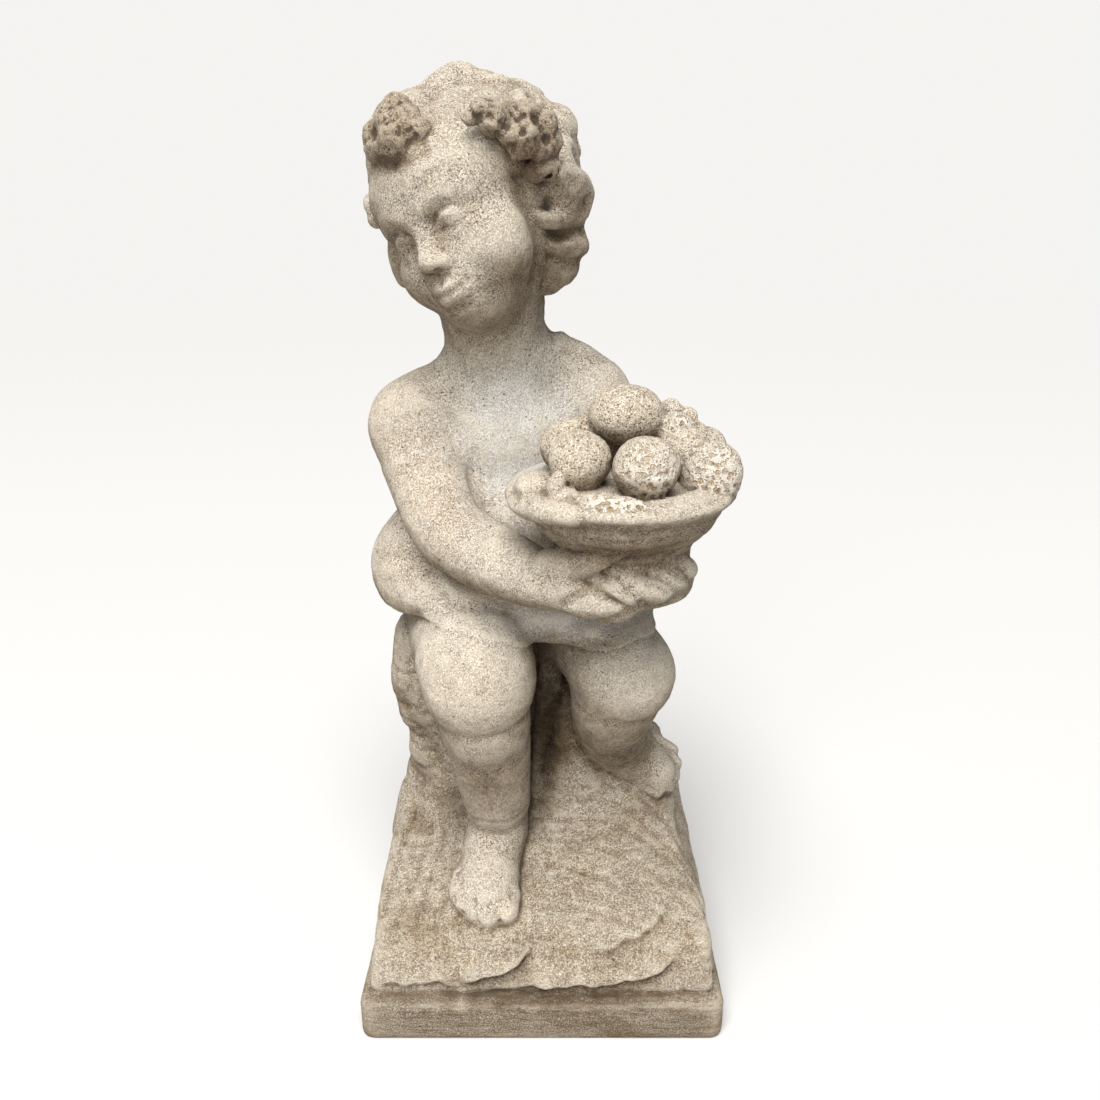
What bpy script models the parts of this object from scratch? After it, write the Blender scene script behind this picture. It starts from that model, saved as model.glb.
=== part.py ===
"""Cast-stone garden statue: a cherub on a tree stump, holding a basket of fruit.

Metres, +Z up. The origin is the centre of the plinth's underside and the figure faces -Y.
The statue is one casting, so it is one solid: closed forms for the body, the cloth, the
hair, the basket and the rocky mound are given one skin, carved, and joined to the plinth.
"""
import math

import bmesh
import bpy
import numpy as np
from mathutils import Euler, Matrix, Vector
from mathutils.bvhtree import BVHTree

# Driving dimensions, in metres
PLINTH_WIDTH = 0.255
PLINTH_DEPTH = 0.255
PLINTH_THICKNESS = 0.030
PLINTH_CORNER = 0.009
PLINTH_EDGE = 0.0025
QUARTER_ROUND = 0.5
MOUND_SETBACK = 0.0075
MOUND_CORNER = 0.009
FIGURE_HEIGHT = 0.605

# The figure is a free form. Its pose, proportions and carving are in shares of its height,
# measured from the middle of the plinth's top. There are 605 shares in the height.
SHARE = FIGURE_HEIGHT / 605

# Skins, in shares: a coarse one that melts the big forms together, a fine one for the detail
BODY_VOXEL = 4.0
BODY_SOFTENING = 12
DETAIL_VOXEL = 2.6
DETAIL_SOFTENING = 3
FIGURE_TRIANGLES = 9400

# How much more the thinning of faces spares the head, the hands and the feet; the pull is in shares
PLAIN_WEIGHT = 1.0
FINE_WEIGHT = 0.85
FINE_PULL = 0.4

STONE_COLOUR = (0.56, 0.50, 0.40, 1.0)
STONE_ROUGHNESS = 0.93

# Landmarks of the pose, in shares
HEAD_CENTRE = (-43, 2, 523)
HEAD_TURN = (14, -22, -36)
HEAD_SCALE = 0.97
RIGHT_SHOULDER = (-89, 13, 376)
RIGHT_ELBOW = (-58, -40, 315)
RIGHT_WRIST = (14, -108, 300)
LEFT_SHOULDER = (31, 28, 390)
LEFT_ELBOW = (68, 8, 310)
LEFT_WRIST = (80, -60, 297)
RIGHT_KNEE = (-39, -62, 226)
RIGHT_ANKLE = (-32, -38, 95)
LEFT_KNEE = (60, -46, 215)
LEFT_ANKLE = (58, 2, 122)
RIGHT_TOES = (-44, -84, 50)
LEFT_TOES = (92, 0, 108)
RIGHT_FINGERS = (46, -122, 302)
BASKET_AXIS = (50, -82)
BASKET_FOOT = 290
BASKET_RIM = 360


def figure_frame():
    """Shares above the plinth's top, to metres."""
    lift = Matrix.Translation((0, 0, PLINTH_THICKNESS))
    return lift @ Matrix.Scale(SHARE, 4)


def head_frame():
    """Shares about the head's centre, x to its left, -y to its face, to metres."""
    turn = Euler([math.radians(angle) for angle in HEAD_TURN]).to_matrix().to_4x4()
    place = Matrix.Translation(HEAD_CENTRE) @ turn @ Matrix.Scale(HEAD_SCALE, 4)
    return figure_frame() @ place


def ball(clay, frame, centre, radii, turn=(0, 0, 0)):
    """An ellipsoid in a frame."""
    rotation = Euler([math.radians(angle) for angle in turn]).to_matrix().to_4x4()
    matrix = frame @ Matrix.Translation(centre) @ rotation @ Matrix.Diagonal((*radii, 1))
    bmesh.ops.create_icosphere(clay, subdivisions=3, radius=1, matrix=matrix)


def smooth_path(points, steps=5):
    """Rows of numbers joined by a Catmull-Rom curve, so radii taper along it too."""
    rows = np.array(points, float)
    if len(rows) < 3:
        return rows
    ends = np.vstack([2 * rows[0] - rows[1], rows, 2 * rows[-1] - rows[-2]])
    path = []
    for a, b, c, d in zip(ends, ends[1:], ends[2:], ends[3:]):
        for t in np.arange(steps) / steps:
            bend = (2 * a - 5 * b + 4 * c - d) * t * t + (3 * b - a - 3 * c + d) * t ** 3
            path.append((2 * b + (c - a) * t + bend) / 2)
    path.append(rows[-1])
    return np.array(path)


def limb(clay, frame, points, sides=14, end_rings=3):
    """A tapering round bar with domed ends; each point is x, y, z and its radius."""
    path = smooth_path(points)
    centres = [Vector(row[:3]) for row in path]
    radii = list(path[:, 3])
    start = (centres[0] - centres[1]).normalized()
    finish = (centres[-1] - centres[-2]).normalized()
    dome = [(k + 1) / (end_rings + 1) * math.pi / 2 for k in range(end_rings)]
    first = [(centres[0] + start * radii[0] * math.sin(a), radii[0] * math.cos(a)) for a in dome]
    last = [(centres[-1] + finish * radii[-1] * math.sin(a), radii[-1] * math.cos(a)) for a in dome]
    rings = first[::-1] + list(zip(centres, radii)) + last
    across = start.orthogonal().normalized()
    loops = []
    for k, (centre, radius) in enumerate(rings):
        before = rings[max(k - 1, 0)][0]
        after = rings[min(k + 1, len(rings) - 1)][0]
        along = (after - before).normalized()
        across = (across - along * across.dot(along)).normalized()
        up = along.cross(across)
        loop = []
        for j in range(sides):
            angle = math.tau * j / sides
            out = across * math.cos(angle) + up * math.sin(angle)
            loop.append(clay.verts.new(frame @ (centre + out * radius)))
        loops.append(loop)
    for lower, upper in zip(loops, loops[1:]):
        for j in range(sides):
            k = (j + 1) % sides
            clay.faces.new((lower[j], lower[k], upper[k], upper[j]))
    tip = clay.verts.new(frame @ (centres[0] + start * radii[0]))
    toe = clay.verts.new(frame @ (centres[-1] + finish * radii[-1]))
    for j in range(sides):
        k = (j + 1) % sides
        clay.faces.new((tip, loops[0][k], loops[0][j]))
        clay.faces.new((toe, loops[-1][j], loops[-1][k]))


def turned(clay, frame, axis, profile, sides=48):
    """A solid turned about an upright axis; the profile's rows are height and radius."""
    loops = []
    for height, radius in profile:
        loop = []
        for j in range(sides):
            angle = math.tau * j / sides
            x = axis[0] + radius * math.cos(angle)
            y = axis[1] + radius * math.sin(angle)
            loop.append(clay.verts.new(frame @ Vector((x, y, height))))
        loops.append(loop)
    for lower, upper in zip(loops, loops[1:]):
        for j in range(sides):
            k = (j + 1) % sides
            clay.faces.new((lower[j], lower[k], upper[k], upper[j]))
    clay.faces.new(loops[0][::-1])
    clay.faces.new(loops[-1])


def curl(clay, frame, centre, out, start, size, hand=1, rise=0.45):
    """A snail curl of hair: a bar wound in a shrinking spiral that rises to its middle."""
    out = Vector(out).normalized()
    side = out.cross(Vector((0.3, 0.1, 1))).normalized()
    down = out.cross(side)
    points = []
    turns = 9
    for j in range(turns):
        t = j / (turns - 1)
        angle = start + hand * t * 5.4
        reach = size * (1.15 - 0.85 * t)
        spot = Vector(centre) + (side * math.cos(angle) + down * math.sin(angle)) * reach
        spot += out * size * rise * t
        thickness = size * (0.22 + 0.30 * math.sin(math.pi * (0.15 + 0.85 * t) ** 0.8))
        points.append((*spot, thickness))
    limb(clay, frame, points, sides=8, end_rings=2)


def mound_half_sizes():
    """Half the mound's width and depth at its foot, in shares."""
    half_width = (PLINTH_WIDTH / 2 - MOUND_SETBACK) / SHARE
    half_depth = (PLINTH_DEPTH / 2 - MOUND_SETBACK) / SHARE
    return half_width, half_depth


def mound_height(x, y):
    """The mound's top above the plinth, in shares: steep at the front, then a gentle rise."""
    half_width, half_depth = mound_half_sizes()
    inward = y + half_depth
    slope = 4 + 30 * (1 - math.exp(-max(inward, 0) / 11)) + 0.34 * inward
    foot_rock = 26 * math.exp(-((x - 84) / 32) ** 2 - ((y - 6) / 38) ** 2)
    left_dip = 20 * math.exp(-((x + half_width) / 40) ** 2 - ((y - 60) / 90) ** 2)
    back_dip = 22 * math.exp(-((y - half_depth) / 30) ** 2)
    ripple = 3 * math.sin(x / 23 + y / 31) * math.exp(-((y + 20) / 80) ** 2)
    return slope + foot_rock - left_dip - back_dip + ripple


def mound(clay, frame, cells=44):
    """The rocky ground: a height field over the plinth, closed by its sides and floor."""
    half_width, half_depth = mound_half_sizes()
    corner = MOUND_CORNER / SHARE
    floor = -PLINTH_THICKNESS / 2 / SHARE
    top, base = [], []
    for j in range(cells + 1):
        top_row, base_row = [], []
        for i in range(cells + 1):
            x = (2 * i / cells - 1) * half_width
            y = (2 * j / cells - 1) * half_depth
            past_x = max(abs(x) - (half_width - corner), 0)
            past_y = max(abs(y) - (half_depth - corner), 0)
            past = math.hypot(past_x, past_y)
            pull = min(corner / past, 1) if past > 0 else 1
            x -= math.copysign(past_x * (1 - pull), x)
            y -= math.copysign(past_y * (1 - pull), y)
            height = max(mound_height(x, y), 3)
            lean = 0.02 * height + max(height - 44, 0) * (0.33 if x > 0 else 0.02)
            edge = max(abs(x) / half_width, abs(y) / half_depth)
            inset = 1 - lean / half_width * edge ** 8
            top_row.append(clay.verts.new(frame @ Vector((x * inset, y * inset, height))))
            base_row.append(clay.verts.new(frame @ Vector((x, y, floor))))
        top.append(top_row)
        base.append(base_row)
    for j in range(cells):
        for i in range(cells):
            clay.faces.new((top[j][i], top[j][i + 1], top[j + 1][i + 1], top[j + 1][i]))
            clay.faces.new((base[j][i], base[j + 1][i], base[j + 1][i + 1], base[j][i + 1]))
    for k in range(cells):
        clay.faces.new((base[0][k], base[0][k + 1], top[0][k + 1], top[0][k]))
        clay.faces.new((base[-1][k + 1], base[-1][k], top[-1][k], top[-1][k + 1]))
        clay.faces.new((base[k + 1][0], base[k][0], top[k][0], top[k + 1][0]))
        clay.faces.new((base[k][-1], base[k + 1][-1], top[k + 1][-1], top[k][-1]))


def stump(clay, frame):
    """The broken tree stump that the cherub sits on, with its roots."""
    limb(clay, frame, [(-44, 54, 200, 40), (-48, 56, 130, 42), (-50, 58, 50, 46)])
    limb(clay, frame, [(20, 58, 200, 40), (24, 58, 130, 44), (26, 60, 50, 50)])
    limb(clay, frame, [(-14, 70, 205, 38), (-14, 70, 130, 40), (-14, 70, 50, 44)])
    ball(clay, frame, (-52, 50, 196), (58, 40, 32), (0, 10, 0))
    bark = [(-92, 36, 206, 22), (-97, 36, 180, 21), (-95, 36, 150, 19)]
    bark += [(-88, 36, 120, 17), (-88, 32, 85, 23), (-92, 24, 50, 30)]
    limb(clay, frame, bark)
    limb(clay, frame, [(-70, 10, 190, 20), (-68, 12, 140, 16), (-72, 8, 84, 24)])
    limb(clay, frame, [(12, 14, 215, 14), (14, 12, 170, 13), (18, 6, 130, 17), (28, -6, 84, 26)])
    limb(clay, frame, [(2, 26, 200, 16), (-4, 22, 140, 20), (-8, 14, 80, 24)])
    limb(clay, frame, [(44, 64, 190, 32), (50, 64, 140, 32), (60, 60, 80, 40)])


def torso(clay, frame):
    """Hips, belly, chest, shoulders and neck."""
    ball(clay, frame, (-20, 40, 262), (82, 52, 42))
    ball(clay, frame, (-76, 22, 268), (52, 46, 38), (0, 14, 0))
    ball(clay, frame, (-88, 18, 284), (29, 34, 24))
    ball(clay, frame, (-30, 16, 302), (67, 51, 51))
    ball(clay, frame, (-33, 26, 362), (61, 43, 55))
    ball(clay, frame, (-30, 52, 350), (52, 26, 60))
    for chest_x in (-58, 2):
        ball(clay, frame, (chest_x, 12, 370), (32, 33, 34))
        ball(clay, frame, (chest_x, 58, 380), (20, 12, 22))
    ball(clay, frame, RIGHT_SHOULDER, (34, 36, 36))
    ball(clay, frame, LEFT_SHOULDER, (32, 34, 34))
    limb(clay, frame, [(-72, 26, 400, 18), (-29, 24, 418, 25), (10, 30, 418, 20)])
    limb(clay, frame, [(-30, 26, 411, 37), (-33, 15, 440, 37), (-34, 10, 465, 38)])


def arms(clay, frame):
    """The right arm crosses in front; the left one goes round behind the basket."""
    right = [(*RIGHT_SHOULDER, 32), (-78, -6, 348, 30), (*RIGHT_ELBOW, 28)]
    right += [(-44, -54, 306, 27), (-21, -76, 302, 25), (-1, -96, 300, 20), (*RIGHT_WRIST, 17)]
    limb(clay, frame, right)
    left = [(*LEFT_SHOULDER, 31), (58, 22, 345, 28), (*LEFT_ELBOW, 26)]
    left += [(76, -28, 300, 21), (*LEFT_WRIST, 16)]
    limb(clay, frame, left)


def legs(clay, frame):
    """Thighs, knees, shins and ankles."""
    limb(clay, frame, [(-62, 30, 236, 46), (-54, -15, 228, 44), (-45, -56, 232, 38)])
    ball(clay, frame, RIGHT_KNEE, (40, 33, 34))
    limb(clay, frame, [(-37, -60, 208, 31), (-35, -56, 171, 32), (-32, -46, 128, 28), (*RIGHT_ANKLE, 23)])
    limb(clay, frame, [(28, 24, 236, 44), (42, -15, 228, 40), (52, -42, 216, 34)])
    ball(clay, frame, LEFT_KNEE, (33, 31, 33))
    limb(clay, frame, [(48, -38, 195, 28), (50, -16, 159, 27), (*LEFT_ANKLE, 22)])


def tunic(clay, frame):
    """The short tunic: it bulges over the hips, rolls over the thighs and falls behind."""
    ball(clay, frame, (-26, 30, 262), (96, 62, 36))
    ball(clay, frame, (-88, 10, 262), (32, 40, 30))
    ball(clay, frame, (-26, -10, 270), (72, 50, 26))
    ball(clay, frame, (36, 10, 262), (46, 56, 32))
    hem = [(-99, 26, 252, 16), (-92, -8, 252, 14), (-63, -40, 253, 13), (-28, -62, 255, 11)]
    hem += [(7, -40, 235, 10), (39, -56, 248, 11), (74, -46, 259, 13), (70, 14, 258, 20)]
    limb(clay, frame, hem)
    limb(clay, frame, [(36, 20, 262, 34), (53, -36, 244, 20)])
    ball(clay, frame, (-16, 74, 235), (78, 28, 50))
    back_hem = [(-84, 70, 214, 12), (-44, 92, 204, 12), (-4, 98, 210, 13)]
    back_hem += [(34, 90, 204, 12), (60, 68, 212, 12)]
    limb(clay, frame, back_hem)


def skull(clay, frame):
    """The head's big forms, in the head's own frame."""
    ball(clay, frame, (0, 10, 8), (61, 66, 58))
    ball(clay, frame, (0, -16, -24), (49, 46, 46))
    ball(clay, frame, (0, -26, 18), (50, 36, 34))
    ball(clay, frame, (0, -46, -64), (15, 12, 12))
    ball(clay, frame, (0, -54, -42), (17, 12, 13))
    for side in (-1, 1):
        ball(clay, frame, (side * 25, -34, -38), (23, 22, 21))


def face(clay, frame):
    """A plain, calm child's face: lids closed over round eyes, short nose, small mouth."""
    limb(clay, frame, [(0, -58, 2, 6), (0, -64, -12, 6.5), (0, -68, -22, 7.5)])
    ball(clay, frame, (0, -70, -25), (8.5, 7.5, 7))
    limb(clay, frame, [(-14, -60, -43.5, 2.5), (0, -66.5, -41.5, 3.8), (14, -60, -43.5, 2.5)])
    limb(clay, frame, [(-12, -59, -48, 2.5), (0, -65.5, -49.5, 4.6), (12, -59, -48, 2.5)])
    for side in (-1, 1):
        ball(clay, frame, (side * 8, -64.5, -27.5), (6, 6.5, 5.5))
        ball(clay, frame, (side * 21, -51, -9), (12, 10, 9))
        limb(clay, frame, [(side * 34, -48, 5, 3.5), (side * 23, -57, 10, 5), (side * 10, -60, 7, 4.5)])
        ball(clay, frame, (side * 60, 12, -16), (7, 14, 18))


def hair(clay, frame, head):
    """Thick curls round the back and sides, bigger ones at the brow and the temples."""
    random = np.random.default_rng(5)
    curls = 56
    golden_turn = 2.39996
    for i in range(curls):
        height = 1 - 1.5 * (i + 0.5) / curls
        reach = math.sqrt(max(0, 1 - height * height))
        out = Vector((reach * math.cos(i * golden_turn), reach * math.sin(i * golden_turn), height))
        start, size = random.uniform(0, math.tau), random.uniform(11, 14)
        over_brow = out.y < -0.2 and out.z < 0.85
        over_cheek = out.z < -0.1 and out.y < 0.05
        if not (over_brow or over_cheek):
            root = Vector((out.x * 60, out.y * 66 + 10, out.z * 58 + 8))
            curl(clay, head, root, out, start, size, 1 if i % 3 else -1)
    crown = [(-51, 10, 590, 16), (-65, 0, 581, 15), (-85, -8, 573, 14), (-95, -8, 552, 13)]
    crown += [(-27, 0, 575, 17), (-3, 5, 566, 17), (7, 0, 552, 12)]
    for x, y, z, radius in crown:
        ball(clay, frame, (x, y, z), (radius, radius, radius))
    locks = [(7, -16, 536, 15, 1.0, 1), (21, 0, 528, 11, 3.0, -1), (7, -16, 515, 11, 5.0, 1)]
    locks += [(13, -6, 501, 10, 2.0, 1), (9, -6, 486, 11, 0.5, -1), (0, 0, 475, 8, 2.0, 1)]
    locks += [(-106, 10, 524, 9, 1.0, 1), (-97, 14, 495, 8, 2.0, 1), (-91, 16, 483, 7, 4.0, -1)]
    locks += [(-92, -20, 572, 11, 2.0, 1), (-16, -12, 573, 12, 1.5, 1), (8, -12, 555, 10, 5.0, -1)]
    for x, y, z, size, start, hand in locks:
        ball(clay, frame, (x, y, z), (size, size, size))
        out = Vector((0.35 if x > 0 else -0.15, -0.86, 0.5))
        curl(clay, frame, Vector((x, y, z)) + out * size * 0.6, out, start, size, hand)


def garland(clay, frame):
    """Three worn blossoms of the wreath, over the temples."""
    for x, y, z in ((-83, -40, 552), (-30, -52, 563), (-10, -42, 556)):
        for j in range(6):
            angle = math.tau * j / 6 + 0.4
            petal = (x + 9 * math.cos(angle), y - 1, z + 8 * math.sin(angle))
            ball(clay, frame, petal, (6.5, 5, 6))


def hands(clay, frame):
    """The right hand spreads under the basket, thumb up; the left one holds its far side."""
    ball(clay, frame, (28, -116, 299), (18, 13, 11), (0, 20, -20))
    limb(clay, frame, [(15, -112, 307, 9), (29, -122, 319, 9), (42, -130, 330, 6.5)])
    tips = ((61, -128, 309), (64, -125, 303), (61, -122, 296), (53, -119, 290))
    for i, tip in enumerate(tips):
        root = (32, -118 + 3 * i, 302 - 4.3 * i, 7.5)
        knuckle = (48, -128 + 3 * i, 306 - 4.3 * i, 7)
        limb(clay, frame, [root, knuckle, (*tip, 6)])
    ball(clay, frame, (74, -80, 296), (16, 22, 10))
    for i in range(4):
        root = (82 - 9 * i, -92, 296, 7)
        knuckle = (84 - 9 * i, -112, 298, 6.5)
        limb(clay, frame, [root, knuckle, (85 - 9 * i, -122, 303, 5.5)])


def feet(clay, frame):
    """Short round feet with worn toes; the left one turns outwards."""
    limb(clay, frame, [(-31, -36, 80, 21), (-36, -52, 67, 20), (-39, -70, 58, 20), (-39, -82, 54, 15)])
    ball(clay, frame, (-31, -20, 70), (20, 22, 20))
    right_toes = ((-25, -95, 51), (-36, -91, 43), (-46, -87, 44), (-55, -83, 47), (-62, -79, 53))
    for i, (x, y, z) in enumerate(right_toes):
        thickness = 8 if i == 0 else 6.2 - 0.35 * i
        limb(clay, frame, [(x - 2, y + 14, z + 8, thickness), (x, y, z, thickness)])
    limb(clay, frame, [(54, 8, 119, 18), (71, 0, 114, 17), (86, -6, 111, 13)])
    left_toes = ((90, -9, 99), (97, -4, 101), (100, 1, 106), (100, 6, 111), (98, 11, 116))
    for i, (x, y, z) in enumerate(left_toes):
        thickness = 7 if i == 0 else 5.6 - 0.3 * i
        limb(clay, frame, [(x - 13, y + 2, z + 7, thickness), (x, y, z, thickness)])


def basket(clay, frame):
    """The shallow flared basket, filled with fruit to above its rim."""
    profile = [(0, 36), (5, 45), (13, 46), (24, 42), (36, 44), (48, 51), (58, 61), (64, 67), (70, 66)]
    depth = (BASKET_RIM - BASKET_FOOT) / profile[-1][0]
    rows = [(BASKET_FOOT + height * depth, radius) for height, radius in profile]
    turned(clay, frame, BASKET_AXIS, rows)
    ball(clay, frame, (*BASKET_AXIS, BASKET_RIM - 3), (58, 58, 13))
    fruits = [(53, -72, 396, 24), (24, -104, 379, 19), (59, -122, 379, 21), (87, -100, 381, 21)]
    fruits += [(104, -90, 368, 20), (79, -70, 388, 19), (89, -58, 396, 9), (13, -72, 384, 19)]
    fruits += [(37, -60, 382, 20), (68, -90, 389, 20), (96, -66, 387, 10)]
    for x, y, z, radius in fruits:
        ball(clay, frame, (x, y, z), (radius, radius, radius))
    limb(clay, frame, [(28, -138, 363, 6), (42, -143, 363, 8), (56, -142, 362, 7)])
    ball(clay, frame, (10, -118, 369), (7, 7, 10), (0, 20, 0))
    ball(clay, frame, (-4, -104, 364), (11, 10, 11))


def face_carving():
    """Strokes that sink the eye sockets, the line of the lips and the groove above them."""
    strokes = [([(-17, -58, -45), (0, -70, -46), (17, -58, -45)], -2.4, 2.4)]
    strokes.append(([(0, -68, -34), (0, -68, -39)], -1.0, 2.4))
    for side in (-1, 1):
        strokes.append(([(side * 11, -60, -2), (side * 22, -60, 2), (side * 33, -52, -2)], -2.2, 3.5))
        strokes.append(([(side * 12, -58, -16), (side * 22, -57, -20), (side * 32, -50, -16)], -1.6, 3))
    return strokes


def cloth_carving():
    """Strokes of the tunic: its edge across the chest, its waist and the folds behind."""
    strokes = []
    strap = [(-74, 66, 322), (-50, 82, 340), (-20, 84, 372), (4, 70, 410)]
    strap += [(13, 26, 433), (20, 0, 415), (21, -20, 400), (10, -30, 376)]
    strokes.append((strap, 3.0, 5.5))
    strokes.append(([(-47, -30, 386), (-40, -38, 364), (-23, -50, 338)], -3.5, 5))
    strokes.append(([(-103, 20, 320), (-109, 10, 293), (-95, -6, 264), (-64, -30, 258)], -2.5, 5))
    strokes.append(([(-71, -28, 269), (-35, -55, 260), (-1, -58, 251), (32, -56, 253)], -3, 5))
    strokes.append(([(-14, -60, 259), (12, -62, 255), (46, -60, 262), (76, -50, 271)], -2.5, 5))
    random = np.random.default_rng(8)
    folds = 15
    for i in range(folds):
        angle = math.radians(-95 + 13.5 * i)
        x = -14 + 96 * math.sin(angle)
        y = 40 + 66 * math.cos(angle)
        sway, start, end = random.uniform(-6, 6), random.uniform(-12, 14), random.uniform(-4, 6)
        fold = [(x * 0.8, y * 0.9, 285 + start), (x * 0.97 + sway, y, 262), (x, y, 214 + end)]
        strokes.append((fold, -3.4 if i % 2 else 3.2, 5.5))
    for i in range(4):
        drag = [(-70 + 8 * i, 60, 300 - 4 * i), (-36 + 6 * i, 80, 318)]
        drag += [(6 * i, 74, 356), (22 + 3 * i, 60, 396)]
        strokes.append((drag, -2.4, 5))
    strokes.append(([(-30, 78, 405), (-31, 80, 380), (-32, 80, 350)], -2.5, 7))
    return strokes


def carve(mesh, frame, strokes):
    """Moves a skin's points along their normals, most where a stroke passes.

    A stroke has its points on the surface, its depth (a ridge is positive) and its width.
    """
    count = len(mesh.vertices)
    spots = np.empty(count * 3, np.float32)
    normals = np.empty(count * 3, np.float32)
    mesh.vertices.foreach_get("co", spots)
    mesh.vertices.foreach_get("normal", normals)
    spots = spots.reshape(-1, 3)
    normals = normals.reshape(-1, 3)
    faces = [tuple(face.vertices) for face in mesh.polygons]
    surface = BVHTree.FromPolygons([tuple(spot) for spot in spots], faces)
    moved = spots.copy()
    for points, depth, width in strokes:
        path = [surface.find_nearest(frame @ Vector(row))[0] for row in smooth_path(points)]
        reach = width * SHARE
        near = np.full(count, np.inf, np.float32)
        for a, b in zip(path, path[1:]):
            start, run = np.array(a), np.array(b - a)
            t = np.clip((spots - start) @ run / max(run @ run, 1e-12), 0, 1)
            near = np.minimum(near, np.linalg.norm(spots - start - t[:, None] * run, axis=1))
        moved += normals * (depth * SHARE * np.exp(-(near / reach) ** 2))[:, None]
    mesh.vertices.foreach_set("co", moved.ravel())
    mesh.update()


def skin(name, clay, voxel, softening):
    """Gives overlapping closed forms one outer skin, and softens it."""
    forms = bpy.data.meshes.new(name)
    clay.to_mesh(forms)
    clay.free()
    holder = bpy.data.objects.new(name, forms)
    bpy.context.scene.collection.objects.link(holder)
    remesh = holder.modifiers.new("One skin", "REMESH")
    remesh.mode = "VOXEL"
    remesh.voxel_size = voxel * SHARE
    soften = holder.modifiers.new("Soften", "SMOOTH")
    soften.factor = 0.5
    soften.iterations = softening
    graph = bpy.context.evaluated_depsgraph_get()
    skinned = bpy.data.meshes.new_from_object(holder.evaluated_get(graph))
    bpy.data.objects.remove(holder)
    return skinned


def weigh_detail(figure):
    """Marks the head, the hands and the feet, so that they keep more of their faces."""
    fine_zones = [(HEAD_CENTRE, 88), (RIGHT_TOES, 30), (LEFT_TOES, 26), (RIGHT_FINGERS, 34)]
    plain = figure.vertex_groups.new(name="plain")
    frame = figure_frame()
    centres = [(frame @ Vector(centre), reach * SHARE) for centre, reach in fine_zones]
    fine, rest = [], []
    for vertex in figure.data.vertices:
        inside = any((vertex.co - centre).length < reach for centre, reach in centres)
        (fine if inside else rest).append(vertex.index)
    plain.add(rest, PLAIN_WEIGHT, "REPLACE")
    plain.add(fine, FINE_WEIGHT, "REPLACE")


def build_figure():
    """The figure with its stump and mound, down into the plinth: a hidden operand."""
    frame, head = figure_frame(), head_frame()
    body = bmesh.new()
    mound(body, frame)
    for add in (stump, torso, arms, legs, tunic):
        add(body, frame)
    skull(body, head)
    body_skin = skin("body_forms", body, BODY_VOXEL, BODY_SOFTENING)
    detail = bmesh.new()
    detail.from_mesh(body_skin)
    for add in (garland, hands, feet, basket):
        add(detail, frame)
    face(detail, head)
    hair(detail, frame, head)
    figure_skin = skin("figure_forms", detail, DETAIL_VOXEL, DETAIL_SOFTENING)
    carve(figure_skin, frame, cloth_carving())
    carve(figure_skin, head, face_carving())
    figure = bpy.data.objects.new("figure_forms", figure_skin)
    bpy.context.scene.collection.objects.link(figure)
    triangles = 2 * len(figure_skin.polygons)
    weigh_detail(figure)
    thin = figure.modifiers.new("Fewer faces", "DECIMATE")
    thin.ratio = FIGURE_TRIANGLES / triangles
    thin.vertex_group = "plain"
    thin.vertex_group_factor = FINE_PULL * SHARE
    figure.hide_render = True
    figure.display_type = "WIRE"
    return figure


def build_plinth_mesh():
    """A square slab with rounded upright corners and eased edges, its underside at z = 0."""
    slab = bmesh.new()
    size = Matrix.Diagonal((PLINTH_WIDTH, PLINTH_DEPTH, PLINTH_THICKNESS, 1))
    bmesh.ops.create_cube(slab, size=1, matrix=Matrix.Translation((0, 0, PLINTH_THICKNESS / 2)) @ size)
    rounding = {"affect": "EDGES", "profile": QUARTER_ROUND}
    upright = [e for e in slab.edges if abs(e.verts[0].co.z - e.verts[1].co.z) > PLINTH_THICKNESS / 2]
    bmesh.ops.bevel(slab, geom=upright, offset=PLINTH_CORNER, segments=6, **rounding)
    flat = [e for e in slab.edges if abs(e.verts[0].co.z - e.verts[1].co.z) < PLINTH_THICKNESS / 2]
    bmesh.ops.bevel(slab, geom=flat, offset=PLINTH_EDGE, segments=2, **rounding)
    mesh = bpy.data.meshes.new("cherub_statue")
    slab.to_mesh(mesh)
    slab.free()
    return mesh


def stone_material():
    material = bpy.data.materials.new("cast_stone")
    material.use_nodes = True
    shader = material.node_tree.nodes["Principled BSDF"]
    shader.inputs["Base Color"].default_value = STONE_COLOUR
    shader.inputs["Roughness"].default_value = STONE_ROUGHNESS
    shader.inputs["Metallic"].default_value = 0.0
    return material


def build_statue():
    """The whole casting: the plinth with the figure joined to it."""
    figure = build_figure()
    statue = bpy.data.objects.new("cherub_statue", build_plinth_mesh())
    bpy.context.scene.collection.objects.link(statue)
    statue.data.materials.append(stone_material())
    join = statue.modifiers.new("Cast with the figure", "BOOLEAN")
    join.operation = "UNION"
    join.solver = "EXACT"
    join.object = figure
    statue.data.shade_smooth()
    statue.data.set_sharp_from_angle(angle=math.radians(50))


for old in list(bpy.data.objects):
    bpy.data.objects.remove(old)
build_statue()
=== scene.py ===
import math

import bpy
import numpy as np
from mathutils import Euler, Matrix, Vector


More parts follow.
